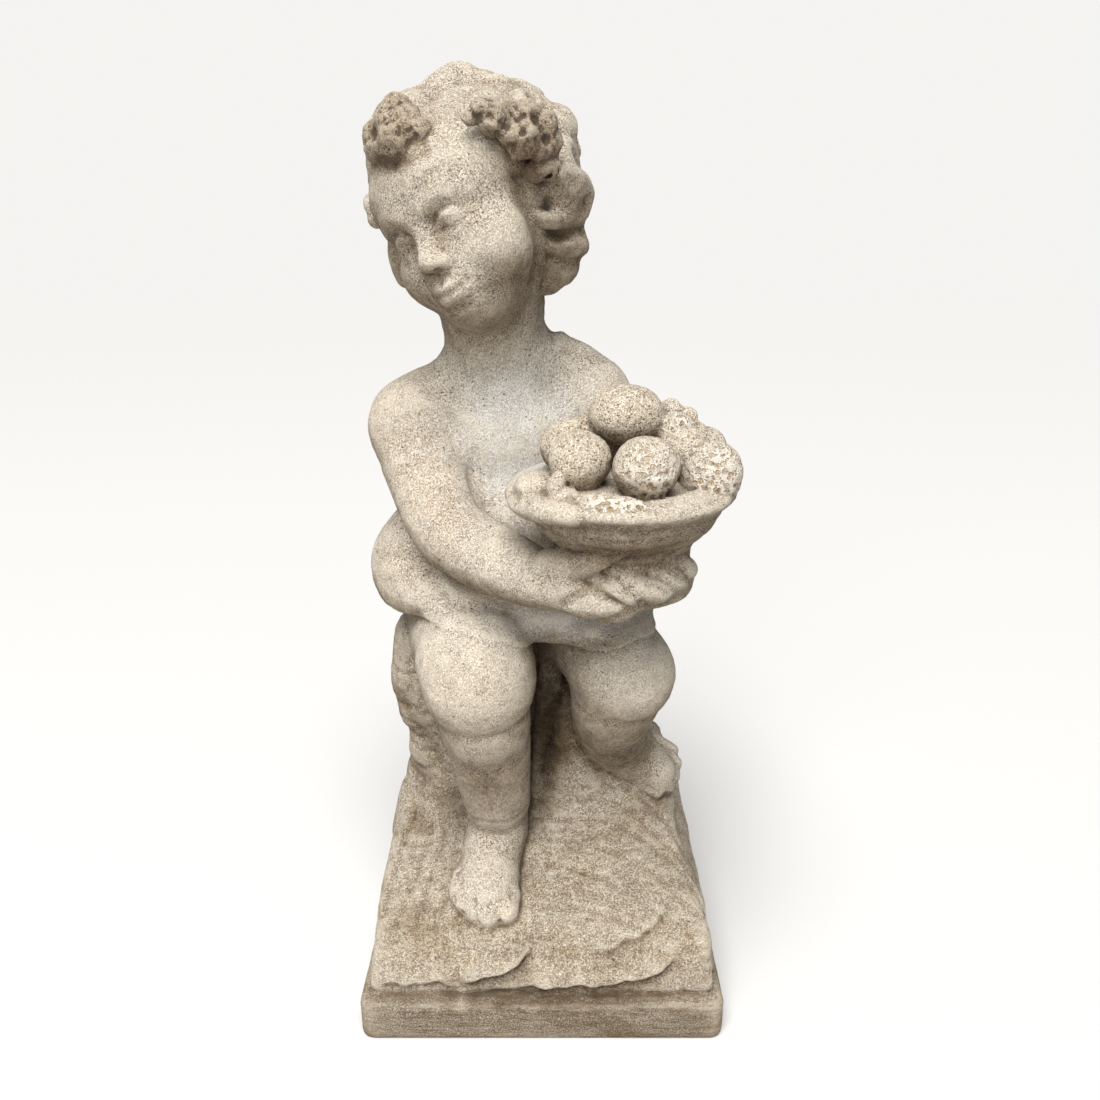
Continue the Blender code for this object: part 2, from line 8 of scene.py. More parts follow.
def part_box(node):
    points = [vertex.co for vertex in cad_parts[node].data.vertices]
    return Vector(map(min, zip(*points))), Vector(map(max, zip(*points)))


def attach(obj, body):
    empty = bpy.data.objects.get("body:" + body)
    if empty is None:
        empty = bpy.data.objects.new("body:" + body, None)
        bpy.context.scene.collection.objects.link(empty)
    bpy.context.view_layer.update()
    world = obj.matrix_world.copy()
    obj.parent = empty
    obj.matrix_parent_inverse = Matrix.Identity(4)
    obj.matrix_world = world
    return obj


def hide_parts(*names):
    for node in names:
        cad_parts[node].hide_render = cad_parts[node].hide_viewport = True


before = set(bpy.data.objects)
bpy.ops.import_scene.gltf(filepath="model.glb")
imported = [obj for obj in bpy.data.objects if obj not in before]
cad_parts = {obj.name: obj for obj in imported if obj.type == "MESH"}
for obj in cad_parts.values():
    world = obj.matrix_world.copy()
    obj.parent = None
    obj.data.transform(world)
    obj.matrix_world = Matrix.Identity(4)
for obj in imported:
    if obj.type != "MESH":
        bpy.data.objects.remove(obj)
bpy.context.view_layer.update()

# Plinth
# The square slab that the statue stands on, cast with it in one pour. Its arrises are worn round.
# The whole casting is modelled as clay: a block of small cells, each holding its distance to the
# surface, in millimetres, measured up from the middle of the plinth's top.
CELL = 1.5
FAR = 40.0
MARGIN = 5.0
PLINTH_THICKNESS = 30.0
PLINTH_CORNER = 9.5
PLINTH_EDGE = 3.6
PLINTH_WEAR = 0.3
MM = 1000

low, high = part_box("cherub_statue")
plinth_half = (high.x - low.x) * MM / 2 - PLINTH_WEAR
block_low = np.array(low) * MM - (0, 0, PLINTH_THICKNESS) - MARGIN
block_high = np.array(high) * MM - (0, 0, PLINTH_THICKNESS) + MARGIN
block_cells = np.ceil((block_high - block_low) / CELL).astype(int) + 1
block_axes = [(a + CELL * np.arange(n)).astype(np.float32) for a, n in zip(block_low, block_cells)]


def fresh_clay():
    return np.full(block_cells, FAR, np.float32)


def window(lowest, highest, reach):
    """The cells around a form, and their coordinates."""
    parts = []
    for axis, a, b in zip(block_axes, lowest, highest):
        first = np.searchsorted(axis, a - reach)
        last = np.searchsorted(axis, b + reach)
        parts.append(slice(max(first - 1, 0), min(last + 1, len(axis))))
    x, y, z = (axis[part] for axis, part in zip(block_axes, parts))
    return tuple(parts), (x[:, None, None], y[None, :, None], z[None, None, :])


def lay_on(clay, parts, distance, blend):
    """Adds a form, melted into what is there over a width."""
    old = clay[parts]
    soft = np.maximum(blend - np.abs(old - distance), 0) / blend
    clay[parts] = np.minimum(old, distance) - soft * soft * (blend / 4)


def cut_out(clay, parts, distance, blend):
    """Takes a form away, with the edge eased over a width."""
    old = clay[parts]
    soft = np.maximum(blend - np.abs(old + distance), 0) / blend
    clay[parts] = np.maximum(old, -distance) + soft * soft * (blend / 4)


def rounded_square(x, y, half, corner):
    """Distance to a square's upright sides with rounded corners."""
    out_x = np.abs(x) - (half - corner)
    out_y = np.abs(y) - (half - corner)
    outside = np.sqrt(np.maximum(out_x, 0) ** 2 + np.maximum(out_y, 0) ** 2)
    return outside + np.minimum(np.maximum(out_x, out_y), 0) - corner


ground = fresh_clay()
parts, (x, y, z) = window((-plinth_half,) * 2 + (-PLINTH_THICKNESS,), (plinth_half,) * 2 + (0,), MARGIN)
side = rounded_square(x, y, plinth_half, PLINTH_CORNER) + PLINTH_EDGE
level = np.abs(z + PLINTH_THICKNESS / 2) - PLINTH_THICKNESS / 2 + PLINTH_EDGE
slab = np.sqrt(np.maximum(side, 0) ** 2 + np.maximum(level, 0) ** 2)
slab = slab + np.minimum(np.maximum(side, level), 0) - PLINTH_EDGE
lay_on(ground, parts, slab, 1)

# Mound
# The rocky ground under the cherub's feet, part of the casting. It rises steeply at the front and
# runs up in a cone between the legs. Its foot overhangs a worn groove above the plinth.
MOUND_SETBACK = 7.0
MOUND_CORNER = 8.0
MOUND_EDGE = 9.0
FOOT_RISE = 30
FOOT_RUN = 11
GROUND_SLOPE = 0.34
GROOVE_DEPTH = 3.4
GROOVE_HEIGHT = 1.2
GROOVE_WIDTH = 2.0
CONE_PLACE = (16, 5)
CONE_HEIGHT = 100
CONE_FALL = 21
RIGHT_LEAN = [(0, 0), (40, 1.5), (46, 4), (60, 14), (72, 17), (90, 18.5), (130, 30)]
LEFT_LEAN = [(0, 0), (44, 1), (60, 3), (90, 8), (130, 12)]
mound_half = plinth_half - MOUND_SETBACK


def mound_top(x, y):
    """Height of the ground above the plinth."""
    inward = y + mound_half
    height = 4 + FOOT_RISE * (1 - np.exp(-np.maximum(inward, 0) / FOOT_RUN)) + GROUND_SLOPE * inward
    across = (x - CONE_PLACE[0]) / np.where(x > CONE_PLACE[0], 1.5, 0.55)
    reach = np.sqrt(across ** 2 + (y - CONE_PLACE[1]) ** 2)
    height = height + CONE_HEIGHT * np.minimum(np.exp((CONE_FALL - reach) / CONE_FALL), 1)
    height = height - 14 * np.exp(-((x + mound_half) / 40) ** 2 - ((y - 60) / 90) ** 2)
    height = height - 22 * np.exp(-((y - mound_half) / 30) ** 2)
    return height + 3 * np.sin(x / 23 + y / 31) * np.exp(-((y + 20) / 80) ** 2)


parts, (x, y, z) = window((-mound_half,) * 2 + (-10,), (mound_half,) * 2 + (190,), MARGIN)
top = mound_top(x, y)
steepness = np.sqrt(1 + sum((np.gradient(top[:, :, 0], CELL, axis=n)) ** 2 for n in (0, 1)))
above = (z - top) / steepness[:, :, None]
right_lean = np.interp(z, *zip(*RIGHT_LEAN))
left_lean = np.interp(z, *zip(*LEFT_LEAN))
lean = left_lean + (right_lean - left_lean) * np.clip(0.5 + x / 60, 0, 1)
wander = 0.8 * np.sin(x / 17 + 1) + 0.6 * np.sin(x / 7 + y / 9)
side = rounded_square(x, y, mound_half - lean, MOUND_CORNER)
side = side + GROOVE_DEPTH * np.exp(-((z - GROOVE_HEIGHT - 0.4 * wander) / GROOVE_WIDTH) ** 2)
soft = np.maximum(MOUND_EDGE - np.abs(above - side), 0) / MOUND_EDGE
rock = np.maximum(above, side) + soft * soft * (MOUND_EDGE / 4)
lay_on(ground, parts, np.maximum(rock, -z - 8), 1)


def place(origin, turn, size):
    """A frame on the figure: where it is, how it is turned, in degrees, and its scale."""
    rotation = Euler([math.radians(angle) for angle in turn]).to_matrix().to_4x4()
    return Matrix.Translation(origin) @ rotation @ Matrix.Scale(size, 4)


FIGURE = place((0, 0, 0), (0, 0, 0), 1)


def ball(clay, centre, radii, blend=8.0, turn=(0, 0, 0), at=FIGURE, cut=False):
    """An ellipsoid of clay, or one scooped out."""
    middle = np.array(at @ Vector(centre))
    radii = np.ones(3) * radii * at.median_scale
    turned = at.to_3x3().normalized() @ Euler([math.radians(angle) for angle in turn]).to_matrix()
    parts, coords = window(middle - radii.max(), middle + radii.max(), blend + 2 * CELL)
    offset = [c - np.float32(m) for c, m in zip(coords, middle)]
    local = [sum(np.float32(turned[j][i]) * offset[j] for j in range(3)) for i in range(3)]
    near = np.sqrt(sum((v / np.float32(r)) ** 2 for v, r in zip(local, radii)))
    slope = np.sqrt(sum((v / np.float32(r * r)) ** 2 for v, r in zip(local, radii))) + 1e-6
    (cut_out if cut else lay_on)(clay, parts, near * (near - 1) / slope, blend)


def smooth_path(points, steps=5):
    """Rows of numbers joined by a Catmull-Rom curve, radii among them."""
    rows = np.array(points, float)
    if len(rows) < 3:
        return rows
    ends = np.vstack([2 * rows[0] - rows[1], rows, 2 * rows[-1] - rows[-2]])
    path = []
    for a, b, c, d in zip(ends, ends[1:], ends[2:], ends[3:]):
        for t in np.arange(steps) / steps:
            bend = (2 * a - 5 * b + 4 * c - d) * t * t + (3 * b - a - 3 * c + d) * t ** 3
            path.append((2 * b + (c - a) * t + bend) / 2)
    return np.array(path + [rows[-1]])


def path_distance(coords, path):
    """Distance to a round bar along a path; its rows are x, y, z and the radius."""
    x, y, z = coords
    best = None
    for a, b in zip(path[:-1].astype(np.float32), path[1:].astype(np.float32)):
        run = b - a
        along = (x - a[0]) * run[0] + (y - a[1]) * run[1] + (z - a[2]) * run[2]
        t = np.clip(along / (run[:3] @ run[:3] + np.float32(1e-9)), 0, 1)
        dx, dy, dz = x - a[0] - t * run[0], y - a[1] - t * run[1], z - a[2] - t * run[2]
        distance = np.sqrt(dx * dx + dy * dy + dz * dz) - (a[3] + t * run[3])
        best = distance if best is None else np.minimum(best, distance)
    return best


def limb(clay, points, blend=8.0, at=FIGURE, cut=False, steps=5):
    """A tapering round bar of clay with domed ends."""
    path = smooth_path(points, steps)
    path = np.array([[*(at @ Vector(row[:3])), row[3] * at.median_scale] for row in path])
    widest = path[:, 3].max()
    parts, coords = window(path[:, :3].min(0) - widest, path[:, :3].max(0) + widest, blend + 2 * CELL)
    (cut_out if cut else lay_on)(clay, parts, path_distance(coords, path), blend)


def read_clay(clay, spots):
    """The clay's value at any spots, between its cells."""
    steps = np.clip((spots - block_low) / CELL, 0, block_cells - 1.001)
    corner = steps.astype(int)
    part = steps - corner
    total = np.zeros(len(spots))
    for i in (0, 1):
        for j in (0, 1):
            for k in (0, 1):
                share = np.abs(1 - i - part[:, 0]) * np.abs(1 - j - part[:, 1]) * np.abs(1 - k - part[:, 2])
                total += share * clay[corner[:, 0] + i, corner[:, 1] + j, corner[:, 2] + k]
    return total


def onto_surface(clay, spots):
    """Moves spots onto the nearest surface of the clay."""
    spots = spots.copy()
    for _ in range(7):
        distance = read_clay(clay, spots)
        slope = [read_clay(clay, spots + e) - read_clay(clay, spots - e) for e in np.eye(3) * CELL]
        slope = np.stack(slope, 1)
        slope /= np.linalg.norm(slope, axis=1, keepdims=True) + 1e-9
        spots -= slope * np.clip(distance, -12, 12)[:, None]
    return spots


def stroke(clay, points, depth, width, at=FIGURE, steps=5):
    """One stroke of the modelling tool over the surface: a groove, or a ridge where depth is positive."""
    path = smooth_path([(*point[:3], 0) for point in points], steps)
    spots = np.array([at @ Vector(row[:3]) for row in path])
    path = np.hstack([onto_surface(clay, spots), np.zeros((len(spots), 1))])
    depth, width = depth * at.median_scale, width * at.median_scale
    parts, coords = window(path[:, :3].min(0), path[:, :3].max(0), 2.6 * width)
    clay[parts] -= depth * np.exp(-(path_distance(coords, path) / width) ** 2)


def strokes(clay, table):
    """Strokes one after another, each given by its points, its depth and its width."""
    for points, depth, width in table:
        stroke(clay, points, depth, width)


LEDGE_TAPER = 0.2
LIP_ROUND = 4.5


def beside_line(points, x, z):
    """Height over a line drawn on the front, negative below it, and a share that fades at its ends."""
    path = smooth_path([(a, b, 0) for a, b in points])[:, :2].astype(np.float32)
    z = z + 0.9 * np.sin(x / 5.3) + 0.5 * np.sin(x / 2.6 + 1)
    nearest, above, along = np.inf, 0, 0
    for i, (a, b) in enumerate(zip(path[:-1], path[1:])):
        run = b - a
        t = np.clip(((x - a[0]) * run[0] + (z - a[1]) * run[1]) / (run @ run), 0, 1)
        across, up = x - a[0] - t * run[0], z - a[1] - t * run[1]
        distance = np.sqrt(across * across + up * up)
        nearer = distance < nearest
        above = np.where(nearer, run[0] * up - run[1] * across, above)
        along = np.where(nearer, (i + t) / (len(path) - 1), along)
        nearest = np.minimum(nearest, distance)
    ends = np.clip(np.minimum(along, 1 - along) / LEDGE_TAPER, 0, 1)
    return np.where(above > 0, nearest, -nearest), ends


def ledge(points, height, reach):
    """A broken edge of rock: the layer above the line stands proud and is undercut."""
    lowest, highest = np.min(points, 0), np.max(points, 0)
    edge = -mound_half
    parts, (x, y, z) = window(
        (lowest[0], edge - 2, lowest[1]), (highest[0], edge + 52, highest[1]), 2 * reach)
    rise, ends = beside_line(points, x, z)
    lip = np.clip(0.5 + rise / LIP_ROUND, 0, 1)
    proud = height * np.exp(-(rise / reach) ** 2) * lip
    undercut = 1.4 * height * np.exp(-np.abs(rise) / (0.6 * reach)) * (1 - lip)
    ground[parts] += (undercut - proud) * ends


LEDGES = [
    ([(-58, 10), (-42, 13), (-31, 17), (-17, 23), (-6, 30)], 4.6, 14),
    ([(-40, 5), (-10, 6.5), (22, 8), (40, 8.5), (56, 10), (68, 13), (84, 19), (99, 28)], 4.0, 13),
    ([(-118, 7), (-96, 9), (-74, 9), (-54, 7)], 2.0, 12),
    ([(34, 29), (58, 33), (76, 40), (94, 50)], 1.6, 12),
]
for line in LEDGES:
    ledge(*line)
for points in (
    [(-7, -30, 84), (20, -31, 84), (43, -30, 81), (73, -40, 68), (101, -60, 52), (113, -90, 32)],
    [(-7, -40, 72), (22, -46, 74), (43, -50, 71), (79, -62, 58), (106, -85, 37)],
    [(-4, -24, 96), (26, -26, 100), (56, -26, 92), (88, -40, 70), (110, -60, 52)],
    [(4, -58, 62), (36, -66, 60), (66, -78, 50), (92, -96, 38)],
    [(30, -32, 100), (56, -22, 106), (86, -24, 84), (108, -44, 62)],
    [(20, -84, 48), (50, -92, 44), (76, -102, 38)],
):
    stroke(ground, points, -1.2, 2.2)
for points in (
    [(-86, -20, 84), (-94, -56, 66), (-104, -96, 44)],
    [(-74, -30, 84), (-82, -60, 68), (-90, -100, 46)],
    [(-100, 4, 88), (-108, -40, 60), (-114, -84, 40)],
    [(-96, -10, 80), (-84, -14, 88), (-72, -18, 90)],
    [(-106, -30, 62), (-94, -36, 70), (-80, -34, 78)],
    [(-64, -44, 74), (-70, -74, 60), (-76, -104, 44)],
):
    stroke(ground, points, -1.5, 2.6)

# Stump
# The broken tree stump that the cherub sits on, with bark, cracks and roots that run into the mound.
limb(ground, [(-44, 54, 205, 38), (-48, 56, 130, 40), (-50, 58, 40, 44)], 12)
limb(ground, [(26, 60, 205, 36), (32, 60, 130, 40), (30, 60, 40, 46)], 12)
limb(ground, [(-14, 70, 208, 36), (-14, 70, 130, 38), (-14, 70, 40, 42)], 12)
ball(ground, (-52, 50, 196), (58, 40, 32), 12, (0, 10, 0))
bark = [(-92, 36, 208, 22), (-96, 36, 180, 20), (-93, 36, 150, 19)]
bark += [(-86, 36, 120, 17), (-88, 32, 85, 22), (-92, 24, 40, 30)]
limb(ground, bark, 10)
limb(ground, [(-68, 12, 190, 20), (-66, 14, 140, 16), (-74, 8, 70, 24)], 10)
limb(ground, [(6, 16, 222, 9), (6, 8, 190, 9), (5, 0, 160, 10), (3, -5, 128, 11), (0, -12, 100, 12)], 4)
limb(ground, [(2, 34, 205, 14), (-4, 30, 140, 18), (-8, 14, 70, 26)], 8)
limb(ground, [(48, 64, 190, 32), (54, 64, 140, 32), (60, 60, 60, 40)], 14)
for x, y, z, radii in (
    (-97, 30, 200, (17, 20, 24)), (-101, 26, 172, (16, 16, 22)), (-94, 27, 146, (18, 19, 17)),
    (-92, 24, 118, (14, 18, 20)), (-84, 10, 178, (15, 14, 30)), (-78, 12, 140, (14, 13, 20)),
    (-104, 22, 184, (9, 9, 12)), (-88, 8, 154, (9, 8, 9)), (-84, 14, 112, (12, 12, 14)),
):
    ball(ground, (x, y, z), radii, 9, (0, 12, 0))
strokes(ground, (
    ([(-118, 24, 160), (-108, 12, 157), (-98, 4, 161), (-88, 0, 158), (-76, 0, 160)], -3.0, 1.7),
    ([(-108, 24, 134), (-98, 10, 131), (-90, 4, 134), (-80, 2, 130)], -3.2, 1.8),
    ([(-100, 20, 124), (-92, 8, 122), (-82, 4, 125)], -2.0, 1.5),
    ([(-116, 26, 190), (-106, 14, 186), (-96, 6, 189)], -2.2, 1.8),
    ([(-104, 20, 146), (-94, 8, 144), (-86, 2, 147)], -1.6, 1.4),
    ([(-104, 24, 110), (-92, 10, 108), (-80, 6, 111)], -2.4, 2.0),
    ([(-92, 2, 196), (-90, -2, 178), (-94, 0, 164)], -1.8, 2.2),
    ([(14, 0, 168), (12, -8, 140), (8, -12, 118)], -1.6, 2.4),
    ([(2, -4, 180), (0, -8, 150), (-4, -12, 120)], 1.2, 3.0),
    ([(20, -14, 156), (30, -18, 136), (46, -24, 112)], -1.6, 2.6),
))
random = np.random.default_rng(11)
for i in range(22):
    angle = math.radians(-80 + 9.5 * i)
    reach = 66 + 8 * random.random()
    x, y = -14 + 88 * math.sin(angle), 44 + reach * math.cos(angle) * 0.95
    points = [(x * 0.94, y, 206), (x, y, 160 + random.uniform(-8, 8)), (x * 1.03, y + 3, 96)]
    stroke(ground, points, random.choice([-2.2, 1.6]), random.uniform(3.5, 5.5))

# Body
# The seated child: hips, belly, chest and neck, all one casting with the limbs.
body = fresh_clay()
ball(body, (-20, 40, 262), (82, 52, 42), 16)
ball(body, (-74, 22, 268), (50, 44, 36), 12, (0, 14, 0))
ball(body, (-30, 16, 302), (66, 50, 50), 16)
ball(body, (-33, 26, 362), (60, 42, 54), 16)
ball(body, (-30, 52, 350), (52, 24, 60), 14)
ball(body, (-30, 16, 370), (58, 32, 32), 16)
for x in (-58, 2):
    ball(body, (x, 58, 380), (20, 11, 22), 10)
ball(body, (-88, 14, 376), (32, 34, 35), 14)
ball(body, (31, 28, 390), (32, 34, 34), 12)
limb(body, [(-74, 26, 398, 18), (-29, 22, 416, 25), (12, 30, 416, 20)], 14)
limb(body, [(-29, 26, 411, 35), (-32, 16, 440, 34), (-34, 10, 465, 36)], 14)
stroke(body, [(-58, -14, 448), (-34, -26, 440), (-10, -20, 442)], -1.4, 4.0)

# Legs
# Bent at the knee, with the fat roll of a small child at each knee and ankle and worn lumpy toes.
limb(body, [(-62, 30, 236, 42), (-56, -10, 230, 40), (-49, -48, 231, 36)], 12)
ball(body, (-43, -60, 226), (39, 34, 32), 12)
ball(body, (-42, -68, 209), (32, 22, 25), 16)
limb(body, [(-43, -62, 208, 30), (-40, -58, 180, 29)], 14)
limb(body, [(-40, -54, 200, 31), (-39, -49, 171, 30.5), (-36, -44, 136, 27.5), (-34, -41, 114, 25)], 6)
right_foot = [(-33, -38, 104, 22), (-33, -36, 84, 22), (-38, -52, 67, 22)]
right_foot += [(-39, -68, 59, 22), (-39, -78, 54, 19)]
limb(body, right_foot, 6)
under_knee = [(-74, -56, 195), (-62, -74, 190), (-48, -86, 187)]
under_knee += [(-31, -90, 188), (-14, -82, 191), (-4, -58, 196)]
over_foot = [(-58, -34, 104), (-53, -50, 104), (-41, -62, 105), (-25, -62, 104), (-11, -50, 108)]
strokes(body, ((under_knee, -1.5, 4.5), (over_foot, -1.4, 2.2)))
ball(body, (-31, -20, 70), (20, 22, 20), 8)
ball(body, (-44, -74, 57), (23, 17, 13), 6, (0, -12, 0))
right_toes = [(-25, -91, 50, 8.6), (-38, -93, 47, 7.6), (-47, -90, 49, 7)]
right_toes += [(-55, -86, 53, 6.4), (-60, -80, 58, 6)]
for x, y, z, size in right_toes:
    limb(body, [(x + 1, y + 10, z + 4, size), (x, y, z, size)], 5.5)
for (x, y, z, _), (next_x, next_y, next_z, _) in zip(right_toes, right_toes[1:]):
    middle = ((x + next_x) / 2, (y + next_y) / 2, (z + next_z) / 2)
    stroke(body, [(middle[0] + 1, middle[1] + 12, middle[2] + 10), middle], -1.5, 1.8)
for x, y, z, size in ((-46.7, -79, 166, 2.2), (-55, -76, 152.6, 1.5), (-39, -78, 147.3, 1.6)):
    ball(body, (x, y, z), size, 0.8, cut=True)

limb(body, [(28, 24, 236, 42), (42, -15, 228, 38), (52, -42, 216, 33)], 12)
ball(body, (59, -45, 215), (33, 31, 32), 12)
limb(body, [(48, -38, 190, 27), (49, -20, 162, 26), (58, -6, 136, 24), (66, 0, 120, 22)], 8)
limb(body, [(57, -44, 204, 28), (54, -34, 182, 26)], 12)
stroke(body, [(22, -54, 194), (44, -68, 187), (56, -74, 187), (72, -66, 187), (86, -46, 191)], -1.0, 5)
limb(body, [(56, 4, 122, 20), (74, 0, 117, 19), (88, -6, 110, 14)], 6)
left_toes = [(88, -12, 99, 7), (96, -8, 99, 6.2), (101, -2, 104, 6)]
left_toes += [(103, 4, 111, 5.6), (101, 10, 119, 5.4)]
for x, y, z, size in left_toes:
    limb(body, [(x - 14, y + 1, z + 8, size + 0.6), (x, y, z, size)], 4.5)
for (x, y, z, _), (next_x, next_y, next_z, _) in zip(left_toes, left_toes[1:]):
    middle = ((x + next_x) / 2, (y + next_y) / 2 - 1, (z + next_z) / 2)
    stroke(body, [(middle[0] - 12, middle[1], middle[2] + 8), middle], -1.6, 1.6)

# Tunic
# Thin cloth over the left shoulder and round the hips, cast with the body. It lies close over the
# thighs, ends in a crisp hem above the knees, and falls in folds behind.
CLOTH_THICKNESS = 3.2
HEM = [(-125, 246), (-94, 251), (-70, 258), (-45, 257.5), (-20, 249.5), (-2, 238)]
HEM += [(7, 236), (30, 238), (43, 240.5), (65, 246.8), (84, 245), (95, 243)]
HEM_BEHIND = 212
parts, (x, y, z) = window((-130, -130, 200), (110, 125, 320), 8)
behind = np.clip((y - 10) / 40, 0, 1)
hem_height = np.interp(x, *zip(*HEM)).astype(np.float32) * (1 - behind) + HEM_BEHIND * behind
cloth = fresh_clay()
crisp = np.clip((x + 10) / 40, 0.7, 1)
cloth[parts] = body[parts] - CLOTH_THICKNESS * crisp * np.clip((316 - z) / 40, 0, 1)
ball(cloth, (-26, 30, 262), (94, 60, 36), 12)
ball(cloth, (-88, 10, 264), (31, 38, 30), 12)
ball(cloth, (-86, 18, 286), (30, 36, 30), 16)
ball(cloth, (-66, -12, 266), (40, 34, 22), 16)
ball(cloth, (-26, -8, 272), (72, 50, 24), 12)
ball(cloth, (36, 10, 262), (46, 54, 30), 14)
limb(cloth, [(36, 20, 262, 32), (53, -34, 248, 18)], 12)
ball(cloth, (2, -48, 258), (20, 12, 10), 8)
limb(cloth, [(-30, -58, 256, 8), (2, -42, 242, 8), (34, -52, 250, 8)], 9)
ball(cloth, (-16, 74, 235), (78, 28, 50), 14)
ball(cloth, (-31, 18, 306), (67, 51, 44), 14)
ball(cloth, (-30, 54, 342), (52, 26, 52), 14)
limb(cloth, [(10, 22, 428, 11), (26, 24, 420, 12), (32, 30, 400, 24)], 8)
strokes(cloth, (
    ([(-71, -28, 274), (-35, -52, 266), (-1, -54, 256), (32, -56, 260)], -2.2, 4.5),
    ([(-44, -30, 292), (-20, -44, 282), (10, -48, 276), (40, -50, 272)], -1.8, 5),
    ([(-100, -6, 276), (-84, -30, 268), (-60, -48, 266)], 1.0, 6),
    ([(-104, 4, 262), (-92, -14, 258), (-78, -34, 262)], -1.4, 4),
    ([(30, -62, 252), (54, -66, 258), (80, -52, 262)], 1.2, 4),
))
random = np.random.default_rng(17)
for i in range(12):
    angle = math.radians(-64 + 12 * i)
    x_fold, y_fold = -14 + 96 * math.sin(angle), 40 + 66 * math.cos(angle)
    sway = random.uniform(-6, 6)
    points = [(x_fold * 0.8, y_fold * 0.9, 285 + random.uniform(-12, 14))]
    points += [(x_fold * 0.97 + sway, y_fold, 262), (x_fold + sway * 0.4, y_fold, 238)]
    points += [(x_fold, y_fold, 210 + random.uniform(-4, 6))]
    stroke(cloth, points, -3.8 if i % 2 else 3.2, random.uniform(4.5, 6))
for i in range(5):
    points = [(-72 + 8 * i, 60, 300 - 4 * i), (-36 + 6 * i, 80, 318)]
    points += [(6 * i, 74, 356), (22 + 3 * i, 60, 396)]
    stroke(cloth, points, -2.4, 4.5)
cut_out(cloth, parts, z - hem_height, 4)
cloth[:, :, :parts[2].start] = FAR


def join(clay, other, blend):
    """Melts one body of clay into another."""
    lay_on(clay, (slice(None),) * 3, other, blend)


# Arms
# The right arm crosses the lap, its palm under the basket and its thumb up the side. The left arm
# goes round behind and holds the far side from below. The fingers have worn, broken ends.
arms = fresh_clay()
right_arm = [(-88, 12, 376, 31), (-78, -6, 348, 29.5), (-63, -34, 319, 26), (-44, -54, 308.5, 23.5)]
right_arm += [(-21, -76, 304.5, 21.5), (-1, -95, 303, 18.5), (12, -105, 303, 16.5)]
limb(arms, right_arm, 6)
ball(arms, (24, -112, 302), (17, 13, 12), 6, (0, 10, -20))
limb(arms, [(6, -104, 315, 11), (21, -115, 320, 10), (34, -123, 326, 7.8), (45, -128, 331, 5.4)], 3)
for finger in (
    [(14, -107, 298, 11), (27, -118, 297.5, 10), (37, -124.5, 298, 7.5), (44, -127, 298.5, 5)],
    [(32, -121, 314, 5), (42, -126.5, 309.5, 5.6), (51, -129, 305, 4.8), (54.5, -129, 303, 3.4)],
    [(52, -127, 300.5, 3), (58, -127, 301, 2.4)],
    [(38, -120, 291, 6), (48, -123, 292.5, 5.5), (56, -123, 295, 3.6)],
):
    limb(arms, finger, 1.2)
left_arm = [(31, 28, 390, 31), (58, 22, 345, 28), (68, 8, 310, 25)]
left_arm += [(76, -28, 300, 19), (79, -60, 299, 14)]
limb(arms, left_arm, 7)
ball(arms, (74, -82, 298), (15, 20, 9), 6)
first_finger = [(50, -125, 314, 4), (58, -126, 310, 6.5), (67, -123, 306, 7.5)]
first_finger += [(74, -119, 304, 5), (78, -116, 303, 2.4)]
for finger in (
    first_finger,
    [(66, -117, 315, 6), (78, -113, 309, 7), (85, -108, 305, 4)],
    [(80, -104, 320, 6), (88, -102, 313, 6.5), (91, -98, 308, 4)],
):
    limb(arms, finger, 1.5)
strokes(arms, (
    ([(16, -118, 299), (28, -124, 309), (38, -128, 317), (50, -131, 325)], -5.6, 2.4),
    ([(29, -124, 314), (38, -128, 307.5), (46, -130, 302)], -2.6, 1.7),
    ([(49, -132, 309), (54, -132, 305), (58, -131, 301)], -1.8, 1.4),
    ([(62, -131, 315), (69, -129, 311), (75, -125, 306)], -1.6, 1.5),
    ([(76, -118, 316), (83, -114, 311), (87, -110, 307)], -1.8, 1.6),
))

# Head
# A plain putto's head that looks down to its right: round cheeks, a short nose, a small mouth.
HEAD = place((-43, 2, 523), (14, -22, -36), 0.97)
ball(body, (0, 10, 8), (61, 66, 58), 10, at=HEAD)
ball(body, (0, -16, -24), (48, 45, 44), 16, at=HEAD)
ball(body, (0, -27, 18), (50, 36, 34), 14, at=HEAD)
ball(body, (0, -40, -58), (22, 20, 17), 14, at=HEAD)
ball(body, (0, -53, -43), (18, 13, 14), 12, at=HEAD)
for s in (-1, 1):
    ball(body, (s * 26, -36, -30), (22, 21, 20), 14, at=HEAD)
    ball(body, (s * 60, 12, -16), (7, 14, 18), 6, at=HEAD)
    ball(body, (s * 21, -65, -6), (13, 7.5, 8), 9, at=HEAD, cut=True)
    ball(body, (s * 20.5, -50.5, -8), (10, 9.2, 8.2), 3, at=HEAD)
    limb(body, [(s * 34, -47, 5, 2), (s * 23, -57, 10, 3.2), (s * 10, -60, 6, 3)], 10, at=HEAD)
    upper_lid = [(30.5, -50.5, -7, 1.2), (25, -57, -3, 1.7), (19, -59, -2.4, 1.7), (12, -57, -6.5, 1.3)]
    lower_lid = [(30, -50.5, -11.5, 1), (21, -57, -14.5, 1.4), (13, -56.5, -11.5, 1.1)]
    limb(body, [(s * x, *rest) for x, *rest in upper_lid], 3, at=HEAD)
    limb(body, [(s * x, *rest) for x, *rest in lower_lid], 4, at=HEAD)
    stroke(body, [(s * 29, -55, -9), (s * 21, -61, -11), (s * 13, -59, -9.5)], -1.0, 1.6, at=HEAD)
limb(body, [(0, -57, 3, 5), (0, -62, -11, 5.2), (0, -66, -20, 6)], 9, at=HEAD)
ball(body, (0, -68, -24), (6.8, 6.2, 5.8), 5, at=HEAD)
